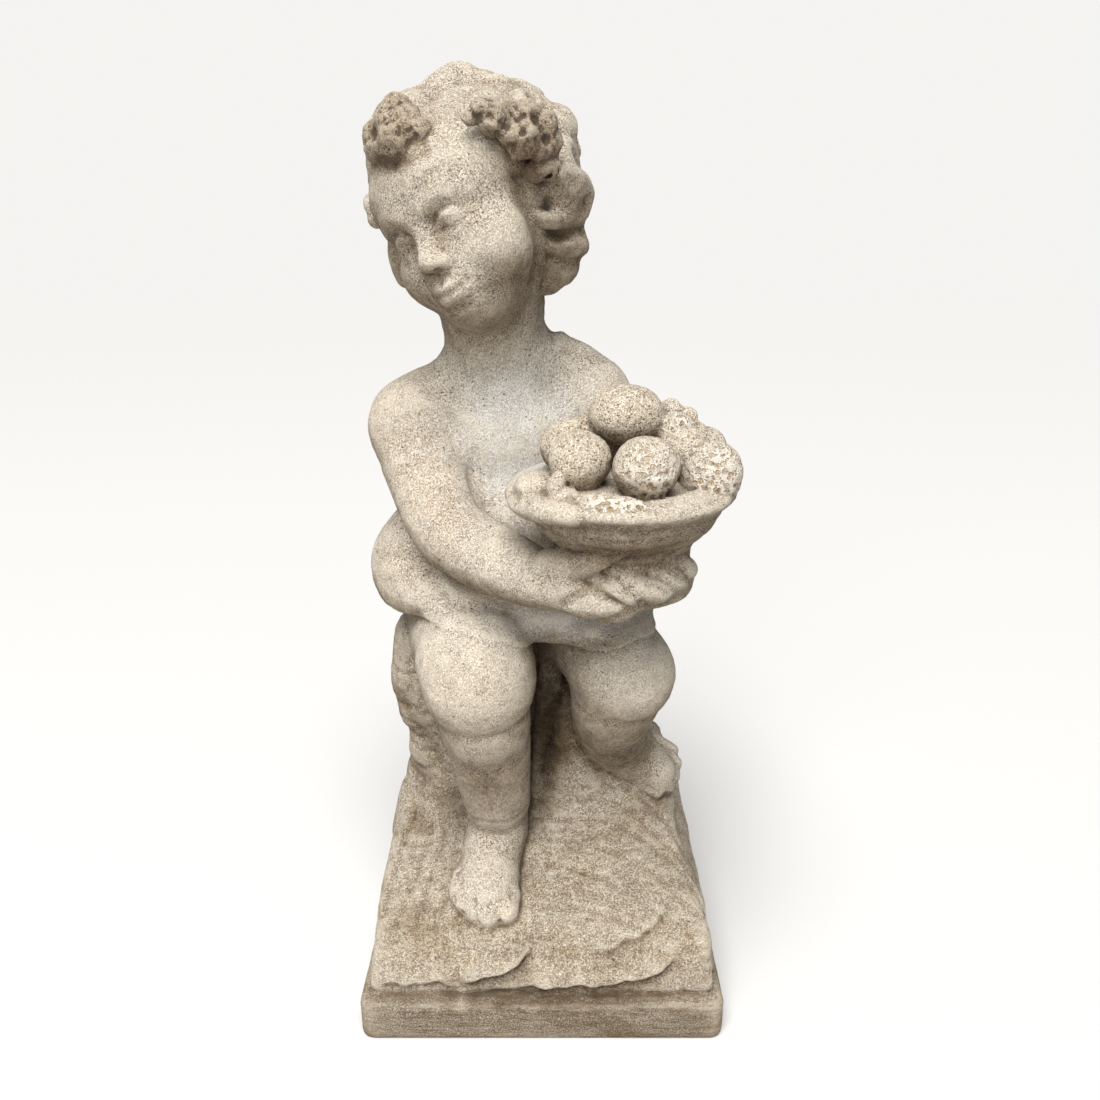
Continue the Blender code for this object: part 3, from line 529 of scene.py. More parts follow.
for s in (-1, 1):
    ball(body, (s * 7, -63.5, -26.5), (4.8, 5.4, 4.4), 3.5, at=HEAD)
    ball(body, (s * 3.6, -69, -30), (1.9, 2.8, 1.6), 2, at=HEAD, cut=True)
upper_lip = [(-11, -60, -41, 1.6), (-4.5, -65.5, -40.5, 2.7), (0, -66, -41.5, 2.5)]
upper_lip += [(4.5, -65.5, -40.5, 2.7), (11, -60, -41, 1.6)]
lower_lip = [(-9, -60, -46, 1.8), (-3.5, -64, -47.5, 3.2), (3.5, -64, -47.5, 3.2), (9, -60, -46, 1.8)]
mouth = [(-14, -58, -41.5), (-7, -66, -43.5), (0, -68, -44.5), (7, -66, -43.5), (14, -58, -41.5)]
limb(body, upper_lip, 4, at=HEAD)
limb(body, lower_lip, 4, at=HEAD)
stroke(body, mouth, -2.0, 1.5, at=HEAD)
stroke(body, [(0, -67, -32), (0, -67, -37)], -1.0, 2.2, at=HEAD)
stroke(body, [(-9, -61, -54), (0, -63, -55), (9, -61, -54)], -1.4, 3.5, at=HEAD)

figure = body.copy()
join(figure, arms, 5)
statue = figure.copy()
join(statue, cloth, 1.5)
collar = [(-60, 64, 330), (-40, 82, 344), (-16, 84, 374), (4, 72, 408), (12, 30, 434)]
collar += [(17, 2, 438), (23, -8, 431), (24, -18, 422)]
stroke(statue, collar, 1.6, 3.4)
stroke(statue, [(-60, -18, 394), (-50, -28, 376), (-40, -34, 358), (-27, -42, 342)], -2.4, 4.0)
stroke(statue, [(-30, 78, 405), (-31, 80, 380), (-32, 80, 350)], -2.5, 7)
join(statue, ground, 3)

# Hair
# Thick child's curls, worn soft by weather: a tuft on the crown, heavy locks over the left temple.
hair = fresh_clay()
ball(hair, (0, 16, 12), (62, 64, 58), 4, at=HEAD)
limb(hair, [(-66, 8, 578, 16), (-52, 12, 587, 15), (-36, 12, 580, 15)], 10)
ball(hair, (-51, 13, 592), (11, 13, 12), 8)
ball(hair, (-80, -2, 572), 15, 9)
ball(hair, (-92, -9, 565), (13, 12, 11), 8)
ball(hair, (-98, -10, 550), (10, 12, 12), 7)
ball(hair, (-99, -4, 538), (9, 12, 11), 6)
limb(hair, [(-34, 12, 577, 16), (-16, 8, 571, 16.5), (4, 8, 563, 15), (10, 4, 550, 13)], 10)
ball(hair, (11, -18, 527), (17, 17, 19), 8)
ball(hair, (22, -4, 527), (11, 14, 14), 8)
ball(hair, (10, 8, 567), (13, 14, 13), 5)
ball(hair, (8, -6, 500), (18, 20, 24), 10)
temple_lock = [(-5, -42, 538, 6), (3, -40, 541, 7), (13, -30, 538, 7)]
temple_lock += [(22, -16, 534, 6.5), (26, -6, 528, 6)]
limb(hair, temple_lock, 4)
limb(hair, [(-3, -36, 516, 5.5), (7, -31, 511, 6.5), (17, -20, 512, 6.5), (25, -8, 518, 6)], 4)
ball(hair, (15, -8, 499), (14, 14, 13), 6)
limb(hair, [(4, -26, 500, 5), (14, -22, 496, 6), (24, -8, 495, 6)], 4)
ball(hair, (12, -4, 482), (12, 12, 11), 6)
ball(hair, (4, -2, 473), (9, 9, 8), 5)
ball(hair, (-106, 8, 521), (8, 9, 8), 4)
ball(hair, (-105, 6, 512), (7, 8, 6), 3)
limb(hair, [(-93, 14, 498, 8), (-92, 14, 486, 8.5), (-90, 16, 476, 7)], 5)


def curl(centre, out, start, size, hand=1, at=FIGURE, blend=3.0):
    """A snail curl: a lock wound in a shrinking spiral that rises to its middle."""
    out = np.array(out) / np.linalg.norm(out)
    side = np.cross(out, (0.3, 0.1, 1))
    side /= np.linalg.norm(side)
    down = np.cross(out, side)
    points = []
    for t in np.linspace(0, 1, 9):
        angle = start + hand * t * 5.4
        around = side * math.cos(angle) + down * math.sin(angle)
        spot = np.array(centre) + around * size * (1.15 - 0.85 * t)
        thickness = size * (0.22 + 0.30 * math.sin(math.pi * (0.15 + 0.85 * t) ** 0.8))
        points.append((*(spot + out * size * 0.45 * t), thickness))
    limb(hair, points, blend, at, steps=2)


random = np.random.default_rng(5)
CURLS = 54
GOLDEN_TURN = 2.39996
for i in range(CURLS):
    height = 1 - 1.52 * (i + 0.5) / CURLS
    reach = math.sqrt(max(0, 1 - height * height))
    out = np.array((reach * math.cos(i * GOLDEN_TURN), reach * math.sin(i * GOLDEN_TURN), height))
    start, size = random.uniform(0, math.tau), random.uniform(11, 14)
    over_brow = out[1] < 0.12 and out[2] > -0.1
    over_cheek = out[2] <= -0.1 and out[1] < 0.08
    if not (over_brow or over_cheek):
        curl(out * (60, 65, 57) + (0, 12, 10), out, start, size, 1 if i % 3 else -1, HEAD)

strokes(hair, (
    ([(-7, -42, 526), (3, -38, 524), (13, -28, 523), (22, -18, 524)], -4.5, 4.5),
    ([(2, -30, 506), (12, -24, 504), (22, -14, 505)], -3.4, 3.6),
    ([(0, -24, 490), (12, -18, 489), (22, -10, 490)], -3.0, 3.2),
    ([(-72, -2, 590), (-66, -8, 580), (-60, -16, 574)], -2.0, 5),
    ([(-34, 4, 592), (-36, -8, 584), (-42, -18, 578)], -2.0, 5),
    ([(-14, 6, 586), (-14, -10, 580), (-18, -26, 574)], -1.6, 5),
    ([(-52, -2, 600), (-50, -10, 594)], -1.6, 4),
))
for x, y, z, size in ((4, -42, 537, 2.4), (9, -39, 539, 1.8), (-1, -43, 541, 1.6)):
    ball(hair, (x, y, z), size, 1.5, cut=True)

# Wreath
# Worn blossoms and leaves over both temples, eaten away to pits and hollows.
wreath = fresh_clay()
right_blossoms = [(-88, -34, 567, 10), (-77, -42, 567, 9), (-98, -24, 560, 9), (-69, -46, 560, 7)]
right_blossoms += [(-90, -38, 551, 8), (-82, -42, 550, 7), (-97, -28, 550, 8)]
right_blossoms += [(-84, -30, 574, 9), (-84, -42, 557, 10)]
left_blossoms = [(-28, -56, 562, 6.5), (-24, -54, 571, 6.5), (-34, -56, 572, 6), (-40, -58, 566, 4.5)]
left_blossoms += [(-8, -46, 570, 8), (3, -42, 565, 7.5), (-9, -52, 557, 8.5), (-18, -56, 556, 6)]
left_blossoms += [(-12, -52, 548, 6.5), (-2, -48, 549, 6), (8, -36, 556, 6)]
left_blossoms += [(-20, -50, 566, 7), (6, -38, 547, 6), (0, -43, 553, 8), (4, -38, 556, 8)]
for x, y, z, size in right_blossoms + left_blossoms:
    ball(wreath, (x, y, z), size, 5)
hollows = [(-81, -53, 560, 2.6), (-94, -41, 558, 2.2), (-35, -62, 566, 3.2), (-19, -60, 563, 3.4)]
hollows += [(3, -49, 555, 2.8), (-9, -59, 560, 2.6), (-2, -52, 567, 2.6), (-27, -62, 566, 2.4)]
hollows += [(-87, -46, 552, 2.4), (-72, -52, 556, 2.6)]

join(statue, hair, 3)
join(statue, wreath, 3)
for x, y, z, size in hollows:
    ball(statue, (x, y, z), size, 2.5, cut=True)
strokes(statue, (
    ([(-94, -40, 542), (-84, -46, 541), (-74, -51, 544), (-66, -53, 549)], -2.4, 4.5),
    ([(-32, -62, 557), (-20, -60, 553), (-13, -57, 542), (-9, -52, 534)], -3.6, 3.6),
    ([(-11, -48, 536), (-9, -44, 522), (-5, -40, 506), (-1, -34, 490), (-1, -26, 474)], -4.6, 5.0),
    ([(10, -36, 560), (9, -36, 550), (6, -38, 543)], -2.6, 3.0),
))

# Basket
# A shallow flared basket with ribs round its waist, cast with the hands that hold it.
BASKET_AXIS = (50, -82)
BASKET_REACH = 70
BASKET_PROFILE = [(290, 36), (295, 45), (303, 46), (314, 42.5), (322, 43), (328, 46), (333, 51), (338, 56)]
BASKET_PROFILE += [(345, 60), (352, 62), (354.5, 63.5), (356, 68), (358.5, 69), (361, 68), (363, 64)]
basket = fresh_clay()
heights, radii = (np.array(column, float) for column in zip(*BASKET_PROFILE))
axis_x, axis_y = BASKET_AXIS
around_low = (axis_x - BASKET_REACH, axis_y - BASKET_REACH, heights[0] - 5)
around_high = (axis_x + BASKET_REACH, axis_y + BASKET_REACH, heights[-1] + 5)
parts, (x, y, z) = window(around_low, around_high, 10)
x, y = x - axis_x, y - axis_y
angle = np.arctan2(y, x)
wanted = np.interp(z, heights, radii) + 0.7 * np.sin(3 * angle + 1) + 0.5 * np.sin(7 * angle)
slope = np.interp(z, heights, np.gradient(radii, heights))
shell = (np.sqrt(x * x + y * y) - wanted) / np.sqrt(1 + slope ** 2)
shell = np.maximum(shell, np.maximum(z - heights[-1], heights[0] - z))
lay_on(basket, parts, shell.astype(np.float32), 2)
RIBS = [(350, 61.5), (343, 59), (336, 54), (330, 48), (323, 43.5)]
turns = np.linspace(0, math.tau, 25)
for z, radius in RIBS:
    ring = [(axis_x + radius * math.cos(a), axis_y + radius * math.sin(a), z) for a in turns]
    stroke(basket, ring, -1.0, 1.5, steps=2)
ball(basket, (50, -82, 355.5), (65, 65, 11), 5)
limb(basket, [(-15, -90, 357, 6.5), (-11, -110, 355.5, 7), (2, -128, 355.5, 6.5), (18, -140, 356.5, 5)], 5)

# Fruit
# Apples, pears and grapes heaped in the basket. Weather has eaten their fronts to coarse pits.
FRUIT = [
    ((52, -72, 400), (23.5, 22, 19)), ((18, -64, 379), (19, 18, 18)), ((23, -104, 380), (18.5, 18, 18)),
    ((60, -121, 380), (19.5, 18, 18.5)), ((101, -99, 371), (18.5, 18.5, 20)), ((86, -86, 380), 17),
    ((81, -74, 390), (14, 14, 13)), ((80, -60, 402), (7, 7, 6.5)), ((89, -62, 397), (8, 8, 7)),
    ((95, -68, 389), 7), ((38, -60, 386), 18), ((102, -66, 379), (13, 14, 13)),
]
fruit = fresh_clay()
for centre, radii in FRUIT:
    ball(fruit, centre, radii, 1.6)
broken = [(25, -134, 363, 5.5), (33, -139, 363, 7.5), (44, -141, 362.5, 7.5), (55, -140.5, 361.5, 5)]
limb(fruit, broken, 2.5)
holder = basket.copy()
join(basket, fruit, 1.8)
ball(basket, (9, -119, 370), (5, 5.5, 8.5), 2, (10, 18, 0))
ball(basket, (14, -122, 364), (8, 7, 5), 3)
ball(basket, (-3, -106, 364), (13, 12, 10), 4)
stroke(basket, [(-16, -104, 360), (-13, -114, 360)], -3.2, 4.0)
ball(basket, (2, -116, 358), (10, 8, 6), 3)
limb(basket, [(64, -138, 359, 5), (80, -130, 360, 6), (97, -114, 360, 6), (106, -98, 361, 5)], 5)
stroke(basket, [(62, -148, 360), (84, -141, 361), (104, -122, 362)], -0.8, 1.6)
join(statue, basket, 1.8)

# Casting
# The clay becomes one skin of concrete, roughened as the real one is: a sandy mound with strata,
# bark on the stump, coarse pits on the fruit and wreath, and a soft even wear everywhere.
SKIN_TRIANGLES = 196000
FINE_WEIGHT = 0.9
PLAIN_PULL = 0.0001


def skin_points(clay):
    """One point in each cell that the surface crosses, and a quad across each crossed edge."""
    inside = clay < 0
    size = np.array(clay.shape)
    corners = [(i, j, k) for i in (0, 1) for j in (0, 1) for k in (0, 1)]
    count = np.zeros(size - 1, np.int8)
    for i, j, k in corners:
        count += inside[i:size[0] - 1 + i, j:size[1] - 1 + j, k:size[2] - 1 + k]
    cells = np.argwhere((count > 0) & (count < 8))
    index = np.full(size - 1, -1, np.int32)
    index[tuple(cells.T)] = np.arange(len(cells))
    total = np.zeros((len(cells), 3))
    crossings = np.zeros(len(cells))
    for axis in range(3):
        step = np.eye(3, dtype=int)[axis]
        others = [n for n in range(3) if n != axis]
        for i, j in ((0, 0), (0, 1), (1, 0), (1, 1)):
            offset = np.zeros(3, int)
            offset[others] = i, j
            first = cells + offset
            a, b = clay[tuple(first.T)], clay[tuple((first + step).T)]
            crossed = (a < 0) != (b < 0)
            t = np.where(crossed, a / np.where(crossed, a - b, 1), 0)
            total += (offset + np.outer(t, step)) * crossed[:, None]
            crossings += crossed
    points = (cells + total / crossings[:, None]) * CELL + block_low
    quads = []
    for axis in range(3):
        b, c = (axis + 1) % 3, (axis + 2) % 3
        start, stop = [0, 0, 0], list(size)
        stop[axis] -= 1
        start[b] = start[c] = 1
        stop[b] -= 1
        stop[c] -= 1
        near = inside[tuple(slice(s, e) for s, e in zip(start, stop))]
        ahead = [n == axis for n in range(3)]
        far = inside[tuple(slice(s + a, e + a) for s, e, a in zip(start, stop, ahead))]
        edges = np.argwhere(near != far)
        outward = near[tuple(edges.T)]
        edges += start
        step_b, step_c = np.eye(3, dtype=int)[b], np.eye(3, dtype=int)[c]
        around = (step_b + step_c, step_c, 0 * step_b, step_b)
        quad = np.stack([index[tuple((edges - d).T)] for d in around], 1)
        quad[~outward] = quad[~outward][:, ::-1]
        quads.append(quad)
    return points, np.vstack(quads)


def lattice_random(cells, seed):
    """A steady random number from 0 to 1 for each whole-numbered cell."""
    mixed = cells[..., 0] * 374761393 + cells[..., 1] * 668265263
    mixed = mixed + cells[..., 2] * 2147483647 + seed * 974711
    mixed = (mixed ^ (mixed >> 13)) * 1274126177 & 0x7FFFFFFF
    return ((mixed ^ (mixed >> 16)) & 0xFFFFFF) / 0xFFFFFF


def cloud(spots, size, seed=0):
    """Smooth noise from -1 to 1 whose blobs are about a size across."""
    scaled = spots / size
    corner = np.floor(scaled).astype(np.int64)
    part = scaled - corner
    part = part * part * (3 - 2 * part)
    total = np.zeros(len(spots))
    for i in (0, 1):
        for j in (0, 1):
            for k in (0, 1):
                share = np.abs(1 - i - part[:, 0]) * np.abs(1 - j - part[:, 1]) * np.abs(1 - k - part[:, 2])
                total += share * lattice_random(corner + (i, j, k), seed)
    return total * 2 - 1


def pits(spots, size, seed=0):
    """0 on the walls between scattered pits, rising to 1 in the middle of each."""
    scaled = spots / size
    corner = np.floor(scaled).astype(np.int64)
    nearest = np.full(len(spots), 9.0)
    for i in (-1, 0, 1):
        for j in (-1, 0, 1):
            for k in (-1, 0, 1):
                cell = corner + (i, j, k)
                seedling = np.stack([lattice_random(cell, seed + n) for n in (1, 2, 3)], 1)
                nearest = np.minimum(nearest, np.linalg.norm(cell + seedling - scaled, axis=1))
    return np.clip(1 - nearest / 0.62, 0, 1)


def belongs(spots, clay, others, width=1.2):
    """How far each spot lies on one body of clay rather than on the others, from 0 to 1."""
    nearest = np.min([read_clay(other, spots) for other in others], axis=0)
    return np.clip(0.5 + (nearest - read_clay(clay, spots)) / (2 * width), 0, 1)


def mound_grain(spots):
    """The mound's tooling lines, level in the middle, steep on the left and sweeping down to the right."""
    x, y, z = spots.T
    left = np.clip((-52 - x) / 34, 0, 1)
    across = z + 0.0022 * np.maximum(x - 20, 0) ** 2 + 0.10 * y
    steep = x * 0.9 + 0.35 * y - 0.12 * z
    lines = np.stack([across * (1 - left) + steep * left, x * 0.06 + left * z * 0.06, y * 0.06], 1)
    return cloud(lines, 2.8, 21) * 0.5 + cloud(lines, 6.0, 22) * 0.8


def patch(spots, centre, reach):
    """1 in the middle of a patch, fading to 0."""
    return np.exp(-(np.linalg.norm((spots - centre) / reach, axis=1)) ** 2)


EATEN = [((66, -136, 373), 20), ((106, -110, 370), 24)]
EATEN += [((41, -148, 364), (21, 14, 9)), ((86, -76, 398), 12)]


def roughen(points, normals):
    """Moves the skin in and out by its wear and texture."""
    zone = {name: belongs(points, clay, others) for name, clay, others in (
        ("ground", ground, (figure, cloth, basket)), ("fruit", fruit, (figure, cloth, holder)),
        ("wreath", wreath, (figure, hair)), ("hair", hair, (figure, wreath, cloth)))}
    on_plinth = np.clip((1.0 - points[:, 2]) / 2, 0, 1) * zone["ground"]
    on_mound = zone["ground"] * (1 - on_plinth)
    on_stump = on_mound * np.clip((points[:, 2] - mound_top(points[:, 0], points[:, 1]) - 3) / 8, 0, 1)
    out = 0.20 * cloud(points, 4) + 0.32 * cloud(points, 12, 1)
    tooled = 0.5 * mound_grain(points) * (1 - on_stump)
    out += on_mound * (tooled + 0.34 * cloud(points, 3.4, 2) + 0.8 * cloud(points, 17, 5))
    bark_spots = points * (1, 1, 0.6)
    out += on_stump * (0.5 * cloud(bark_spots, 9, 3) + 0.15 * cloud(bark_spots, 3.6, 4))
    eaten = np.clip(sum(patch(points, *spot) for spot in EATEN), 0, 1)
    out -= zone["fruit"] * (0.7 * pits(points, 3.8, 7) * (1 - eaten) + 2.3 * eaten * pits(points, 5.2, 8))
    out -= zone["wreath"] * 1.1 * pits(points, 3.6, 9)
    out += zone["wreath"] * (0.7 * cloud(points, 7, 10) + 0.5 * cloud(points, 3.4, 14))
    out += zone["hair"] * (0.55 * cloud(points, 7, 12) + 0.25 * cloud(points, 3.4, 15))
    out = out * (1 - on_plinth) + on_plinth * (0.16 * cloud(points * (0.3, 0.3, 1), 2.4, 13) - 0.35)
    flat_under = points[:, 2] < 1.0 - PLINTH_THICKNESS
    out[flat_under] = 0
    return points + normals * out[:, None]


def in_metres(points):
    """Points in millimetres above the plinth, turned to metres above the floor for a mesh."""
    return ((points + (0, 0, PLINTH_THICKNESS)) / MM).astype(np.float32).ravel()


def new_mesh(points, faces):
    """A smooth-shaded mesh of quads, from points in millimetres above the plinth."""
    mesh = bpy.data.meshes.new("cherub_statue_skin")
    mesh.vertices.add(len(points))
    mesh.vertices.foreach_set("co", in_metres(points))
    mesh.loops.add(faces.size)
    mesh.loops.foreach_set("vertex_index", faces.astype(np.int32).ravel())
    mesh.polygons.add(len(faces))
    mesh.polygons.foreach_set("loop_start", np.arange(0, faces.size, faces.shape[1], dtype=np.int32))
    mesh.update(calc_edges=True)
    mesh.shade_smooth()
    return mesh


def read_mesh(mesh):
    """A mesh's points, in millimetres above the plinth, and its normals."""
    points = np.empty(len(mesh.vertices) * 3, np.float32)
    normals = np.empty(len(mesh.vertices) * 3, np.float32)
    mesh.vertices.foreach_get("co", points)
    mesh.vertices.foreach_get("normal", normals)
    points, normals = (values.reshape(-1, 3).astype(float) for values in (points, normals))
    return points * MM - (0, 0, PLINTH_THICKNESS), normals


points, quads = skin_points(statue)
mesh = new_mesh(points, quads)
_, normals = read_mesh(mesh)
points = roughen(points, normals)
points = np.clip(points, block_low + MARGIN, block_high - MARGIN)
mesh.vertices.foreach_set("co", in_metres(points))
mesh.update()
casting = bpy.data.objects.new("cherub_statue_casting", mesh)
bpy.context.scene.collection.objects.link(casting)
fine_zones = {
    "head": ((-43, 2, 523), 90), "right foot": ((-44, -84, 52), 34),
    "left foot": ((92, 0, 108), 28), "basket and hands": ((50, -100, 335), 75),
}
fine = np.zeros(len(points), bool)
for centre, reach in fine_zones.values():
    fine |= np.linalg.norm(points - centre, axis=1) < reach
plain = casting.vertex_groups.new(name="plain")
plain.add(np.flatnonzero(~fine).tolist(), 1.0, "REPLACE")
plain.add(np.flatnonzero(fine).tolist(), FINE_WEIGHT, "REPLACE")
thin = casting.modifiers.new("Fewer faces", "DECIMATE")
thin.ratio = SKIN_TRIANGLES / (2 * len(quads))
thin.vertex_group = "plain"
thin.vertex_group_factor = PLAIN_PULL
thinned = bpy.data.meshes.new_from_object(casting.evaluated_get(bpy.context.evaluated_depsgraph_get()))
casting.modifiers.remove(thin)
casting.vertex_groups.clear()
casting.data = thinned
thinned.shade_smooth()

# Weathered stone
# Cast stone, light and limy where rain washes it, tan where iron in the sand shows through on the arm,
# knee, fruit and mound. Fine pits and pale grains cover it all. Shade is painted into the colour: brown to
# near black in creases, hollows, under ledges and wherever forms above hide the sky, where grit and dirt
# also sit; painted light pales the chest and the cloth below the arm, where the head and arm shade them;
# crests are painted lighter.
points, normals = read_mesh(thinned)
edges = np.empty(len(thinned.edges) * 2, np.int32)
thinned.edges.foreach_get("vertices", edges)
edges = edges.reshape(-1, 2)
links = np.bincount(edges.ravel(), minlength=len(points))


def hollowness(rounds, depth):
    """How far each point lies below its smoothed surroundings, from 0 to 1; 0.5 is flat."""
    soft = points.copy()
    for _ in range(rounds):
        total = np.zeros_like(soft)
        for n in range(3):
            total[:, n] = np.bincount(edges[:, 0], soft[edges[:, 1], n], len(soft))
            total[:, n] += np.bincount(edges[:, 1], soft[edges[:, 0], n], len(soft))
        soft = total / links[:, None]
    return np.clip(0.5 + ((soft - points) * normals).sum(1) / (2 * depth), 0, 1)


# Rays from each point towards the sky, straight up and slanting as driven rain comes; where forms above
# block them, the colour is painted darker, as shade and as the dirt that settles there.
SKY_RAY_START = 2.5
SKY_RAY_STEP = 4
SKY_RAY_STEPS = 34
SKY_RAYS = [(0, 0, 1), (0, -0.5, 0.87), (0, 0.5, 0.87), (-0.5, 0, 0.87), (0.5, 0, 0.87)]
SKY_RAYS += [(0, -0.77, 0.64), (-0.4, -0.6, 0.7), (0.4, -0.6, 0.7)]


def sky_seen_share(spots, normals):
    """The share of the sky, straight above or slanting as driven rain comes, that each spot sees past the
    forms above it; where it is small the colour is painted darker, as shade and as dirt.
    """
    total = np.zeros(len(spots))
    for way in np.array(SKY_RAYS):
        clear = np.ones(len(spots), bool)
        for step in range(1, SKY_RAY_STEPS):
            drop = spots + normals * SKY_RAY_START + way * (SKY_RAY_STEP * step)
            cells = ((drop - block_low) / CELL).astype(int)
            within = ((cells >= 0) & (cells < block_cells)).all(1)
            cells = np.clip(cells, 0, block_cells - 1)
            clear &= ~(within & (statue[cells[:, 0], cells[:, 1], cells[:, 2]] < 0))
        total += np.clip(normals @ way, 0, 1) * clear
    return total / len(SKY_RAYS)


def evened(values, rounds):
    """Values on the points, each averaged with its neighbours so many times."""
    for _ in range(rounds):
        total = np.bincount(edges[:, 0], values[edges[:, 1]], len(values))
        total += np.bincount(edges[:, 1], values[edges[:, 0]], len(values))
        values = total / links
    return values


STAINS = [
    ((-46, -84, 226), (30, 30, 24), 0.8), ((-104, 0, 384), (20, 30, 28), 0.7),
    ((-74, -40, 335), (34, 34, 40), 0.7), ((-84, -40, 566), (26, 26, 18), 0.9),
    ((-6, -46, 562), (26, 26, 22), 1.0), ((-26, -94, 50), 10, 0.9), ((-36, -66, 300), (40, 30, 14), 0.5),
    ((20, -116, 22), (40, 30, 16), 0.5), ((-66, -116, 26), (40, 30, 16), 0.4),
    ((84, -100, 34), (30, 26, 14), 0.5), ((-96, -10, 276), (20, 24, 20), 0.4),
]
# Patches painted darker, as shade and as grime: the shins, the basket below its rim, between the legs,
# beside the right foot, the stump, the left foot, and the face beside the temple locks and under both
# wreaths.
SHADE_AND_GRIME_PATCHES = [
    ((-40, -70, 146), (34, 32, 44), 0.8), ((54, -24, 152), (34, 36, 44), 1.0),
    ((50, -120, 334), (64, 60, 19), 1.0), ((4, -20, 150), (18, 60, 70), 1.0),
    ((-74, -48, 76), (15, 44, 26), 0.8), ((-84, 10, 140), (24, 40, 44), 0.5),
    ((14, -20, 505), (24, 34, 42), 0.9), ((-8, -52, 540), (16, 20, 26), 0.9),
    ((-82, -42, 544), (26, 20, 12), 0.9),
    ((92, -4, 128), (30, 30, 20), 0.5),
]
# Patches painted paler, partly as stone washed clean and partly as painted light: the chest and the cloth
# below the right forearm, which lie in the shade of the head and arm. They also get fewer specks and less
# painted shade.
WASHED_AND_LIT_PATCHES = [((-14, -20, 390), (52, 46, 48), 1.0), ((0, -30, 350), (50, 40, 40), 0.8)]
WASHED_AND_LIT_PATCHES += [((24, -50, 258), (76, 40, 16), 1.0)]


def patches_of(table):
    """How much of a table's patches covers each point; a patch is a centre, a reach and a strength."""
    return np.clip(sum(share * patch(points, centre, reach) for centre, reach, share in table), 0, 1)


def shade_and_dirt_under_ledges(spots):
    """The band under each ledge that is painted darker, as the ledge's shade and the dirt held there: up to
    1, fading to 0 below it.
    """
    x, y, z = spots.T
    band = np.zeros(len(spots))
    tallest = max(height for _, height, _ in LEDGES)
    for line, height, _ in LEDGES:
        rise, ends = beside_line(line, x, z)
        band += np.exp(np.minimum(rise, 0) / (2.4 * height)) * (rise < 0) * ends * (height / tallest)
    return np.clip(band, 0, 1) * np.clip((-60 - y) / 20, 0, 1)


on_ground = belongs(points, ground, (figure, cloth, basket))
on_fruit = belongs(points, fruit, (figure, cloth, holder))
on_wreath = belongs(points, wreath, (figure, hair))
# Values kept on the points for the colour. Several of them steer painted shade and light: the open sky, the
# patches of shade and grime, the paler lit patches, the band under the ledges, and the cavities and
# hollows.
attributes = {
    "ground": on_ground,
    "plinth": on_ground * np.clip((1.0 - points[:, 2]) / 2, 0, 1),
    "fruit": on_fruit,
    "eaten": on_fruit * np.clip(sum(patch(points, *spot) for spot in EATEN), 0, 1),
    "open_sky": evened(sky_seen_share(points, normals), 8),
    "wreath": on_wreath,
    "stain": patches_of(STAINS),
    "shade_and_grime": patches_of(SHADE_AND_GRIME_PATCHES),
    "washed_and_lit": patches_of(WASHED_AND_LIT_PATCHES) * (1 - on_ground) * (1 - on_fruit),
    # The band under each ledge, painted darker as shade and dirt.
    "ledge": shade_and_dirt_under_ledges(points) * on_ground,
    "cavity": hollowness(3, 0.7),
    "hollow": hollowness(16, 3.0),
}
for name, values in attributes.items():
    layer = thinned.attributes.new(name, "FLOAT", "POINT")
    layer.data.foreach_set("value", values.astype(np.float32))

stone = bpy.data.materials.new("weathered_cast_stone")
stone.use_nodes = True
nodes = stone.node_tree.nodes
wires = stone.node_tree.links
shader = nodes["Principled BSDF"]
shader.inputs["Metallic"].default_value = 0.0
shader.inputs["Specular IOR Level"].default_value = 0.25
object_coords = nodes.new("ShaderNodeTexCoord").outputs["Object"]


def noise(scale, detail=3.0, roughness=0.6, stretch=None):
    """Grain whose blobs are about 1 / scale metres across, stretched where asked."""
    texture = nodes.new("ShaderNodeTexNoise")
    texture.inputs["Scale"].default_value = scale
    texture.inputs["Detail"].default_value = detail
    texture.inputs["Roughness"].default_value = roughness
    source = object_coords
    if stretch:
        mapping = nodes.new("ShaderNodeMapping")
        mapping.inputs["Scale"].default_value = stretch
        wires.new(object_coords, mapping.inputs["Vector"])
        source = mapping.outputs["Vector"]
    wires.new(source, texture.inputs["Vector"])
    return texture.outputs["Fac"]


def grains(scale):
    """Distance from the nearest of many scattered grains, with the grains about 1 / scale apart."""
    texture = nodes.new("ShaderNodeTexVoronoi")
    texture.inputs["Scale"].default_value = scale
    wires.new(object_coords, texture.inputs["Vector"])
    return texture.outputs["Distance"]


def between(value, low, high, start=0.0, end=1.0):
    """A value's stretch from low to high, spread from start to end."""
    node = nodes.new("ShaderNodeMapRange")
    node.inputs["From Min"].default_value = low
    node.inputs["From Max"].default_value = high
    node.inputs["To Min"].default_value = start
    node.inputs["To Max"].default_value = end
    wires.new(value, node.inputs["Value"])
    return node.outputs["Result"]


def work_out(operation, a, b):
    """Arithmetic on two values, either of which may be a number."""
    node = nodes.new("ShaderNodeMath")
    node.operation = operation
    for socket, value in zip(node.inputs, (a, b)):
        if isinstance(value, (int, float)):
            socket.default_value = value
        else:
            wires.new(value, socket)
    return node.outputs["Value"]


def times(a, b):
    return work_out("MULTIPLY", a, b)


def plus(a, b):
    return work_out("ADD", a, b)


def surface(name):
    """One of the values kept on the casting's points."""
    node = nodes.new("ShaderNodeAttribute")
    node.attribute_name = name
    return node.outputs["Fac"]


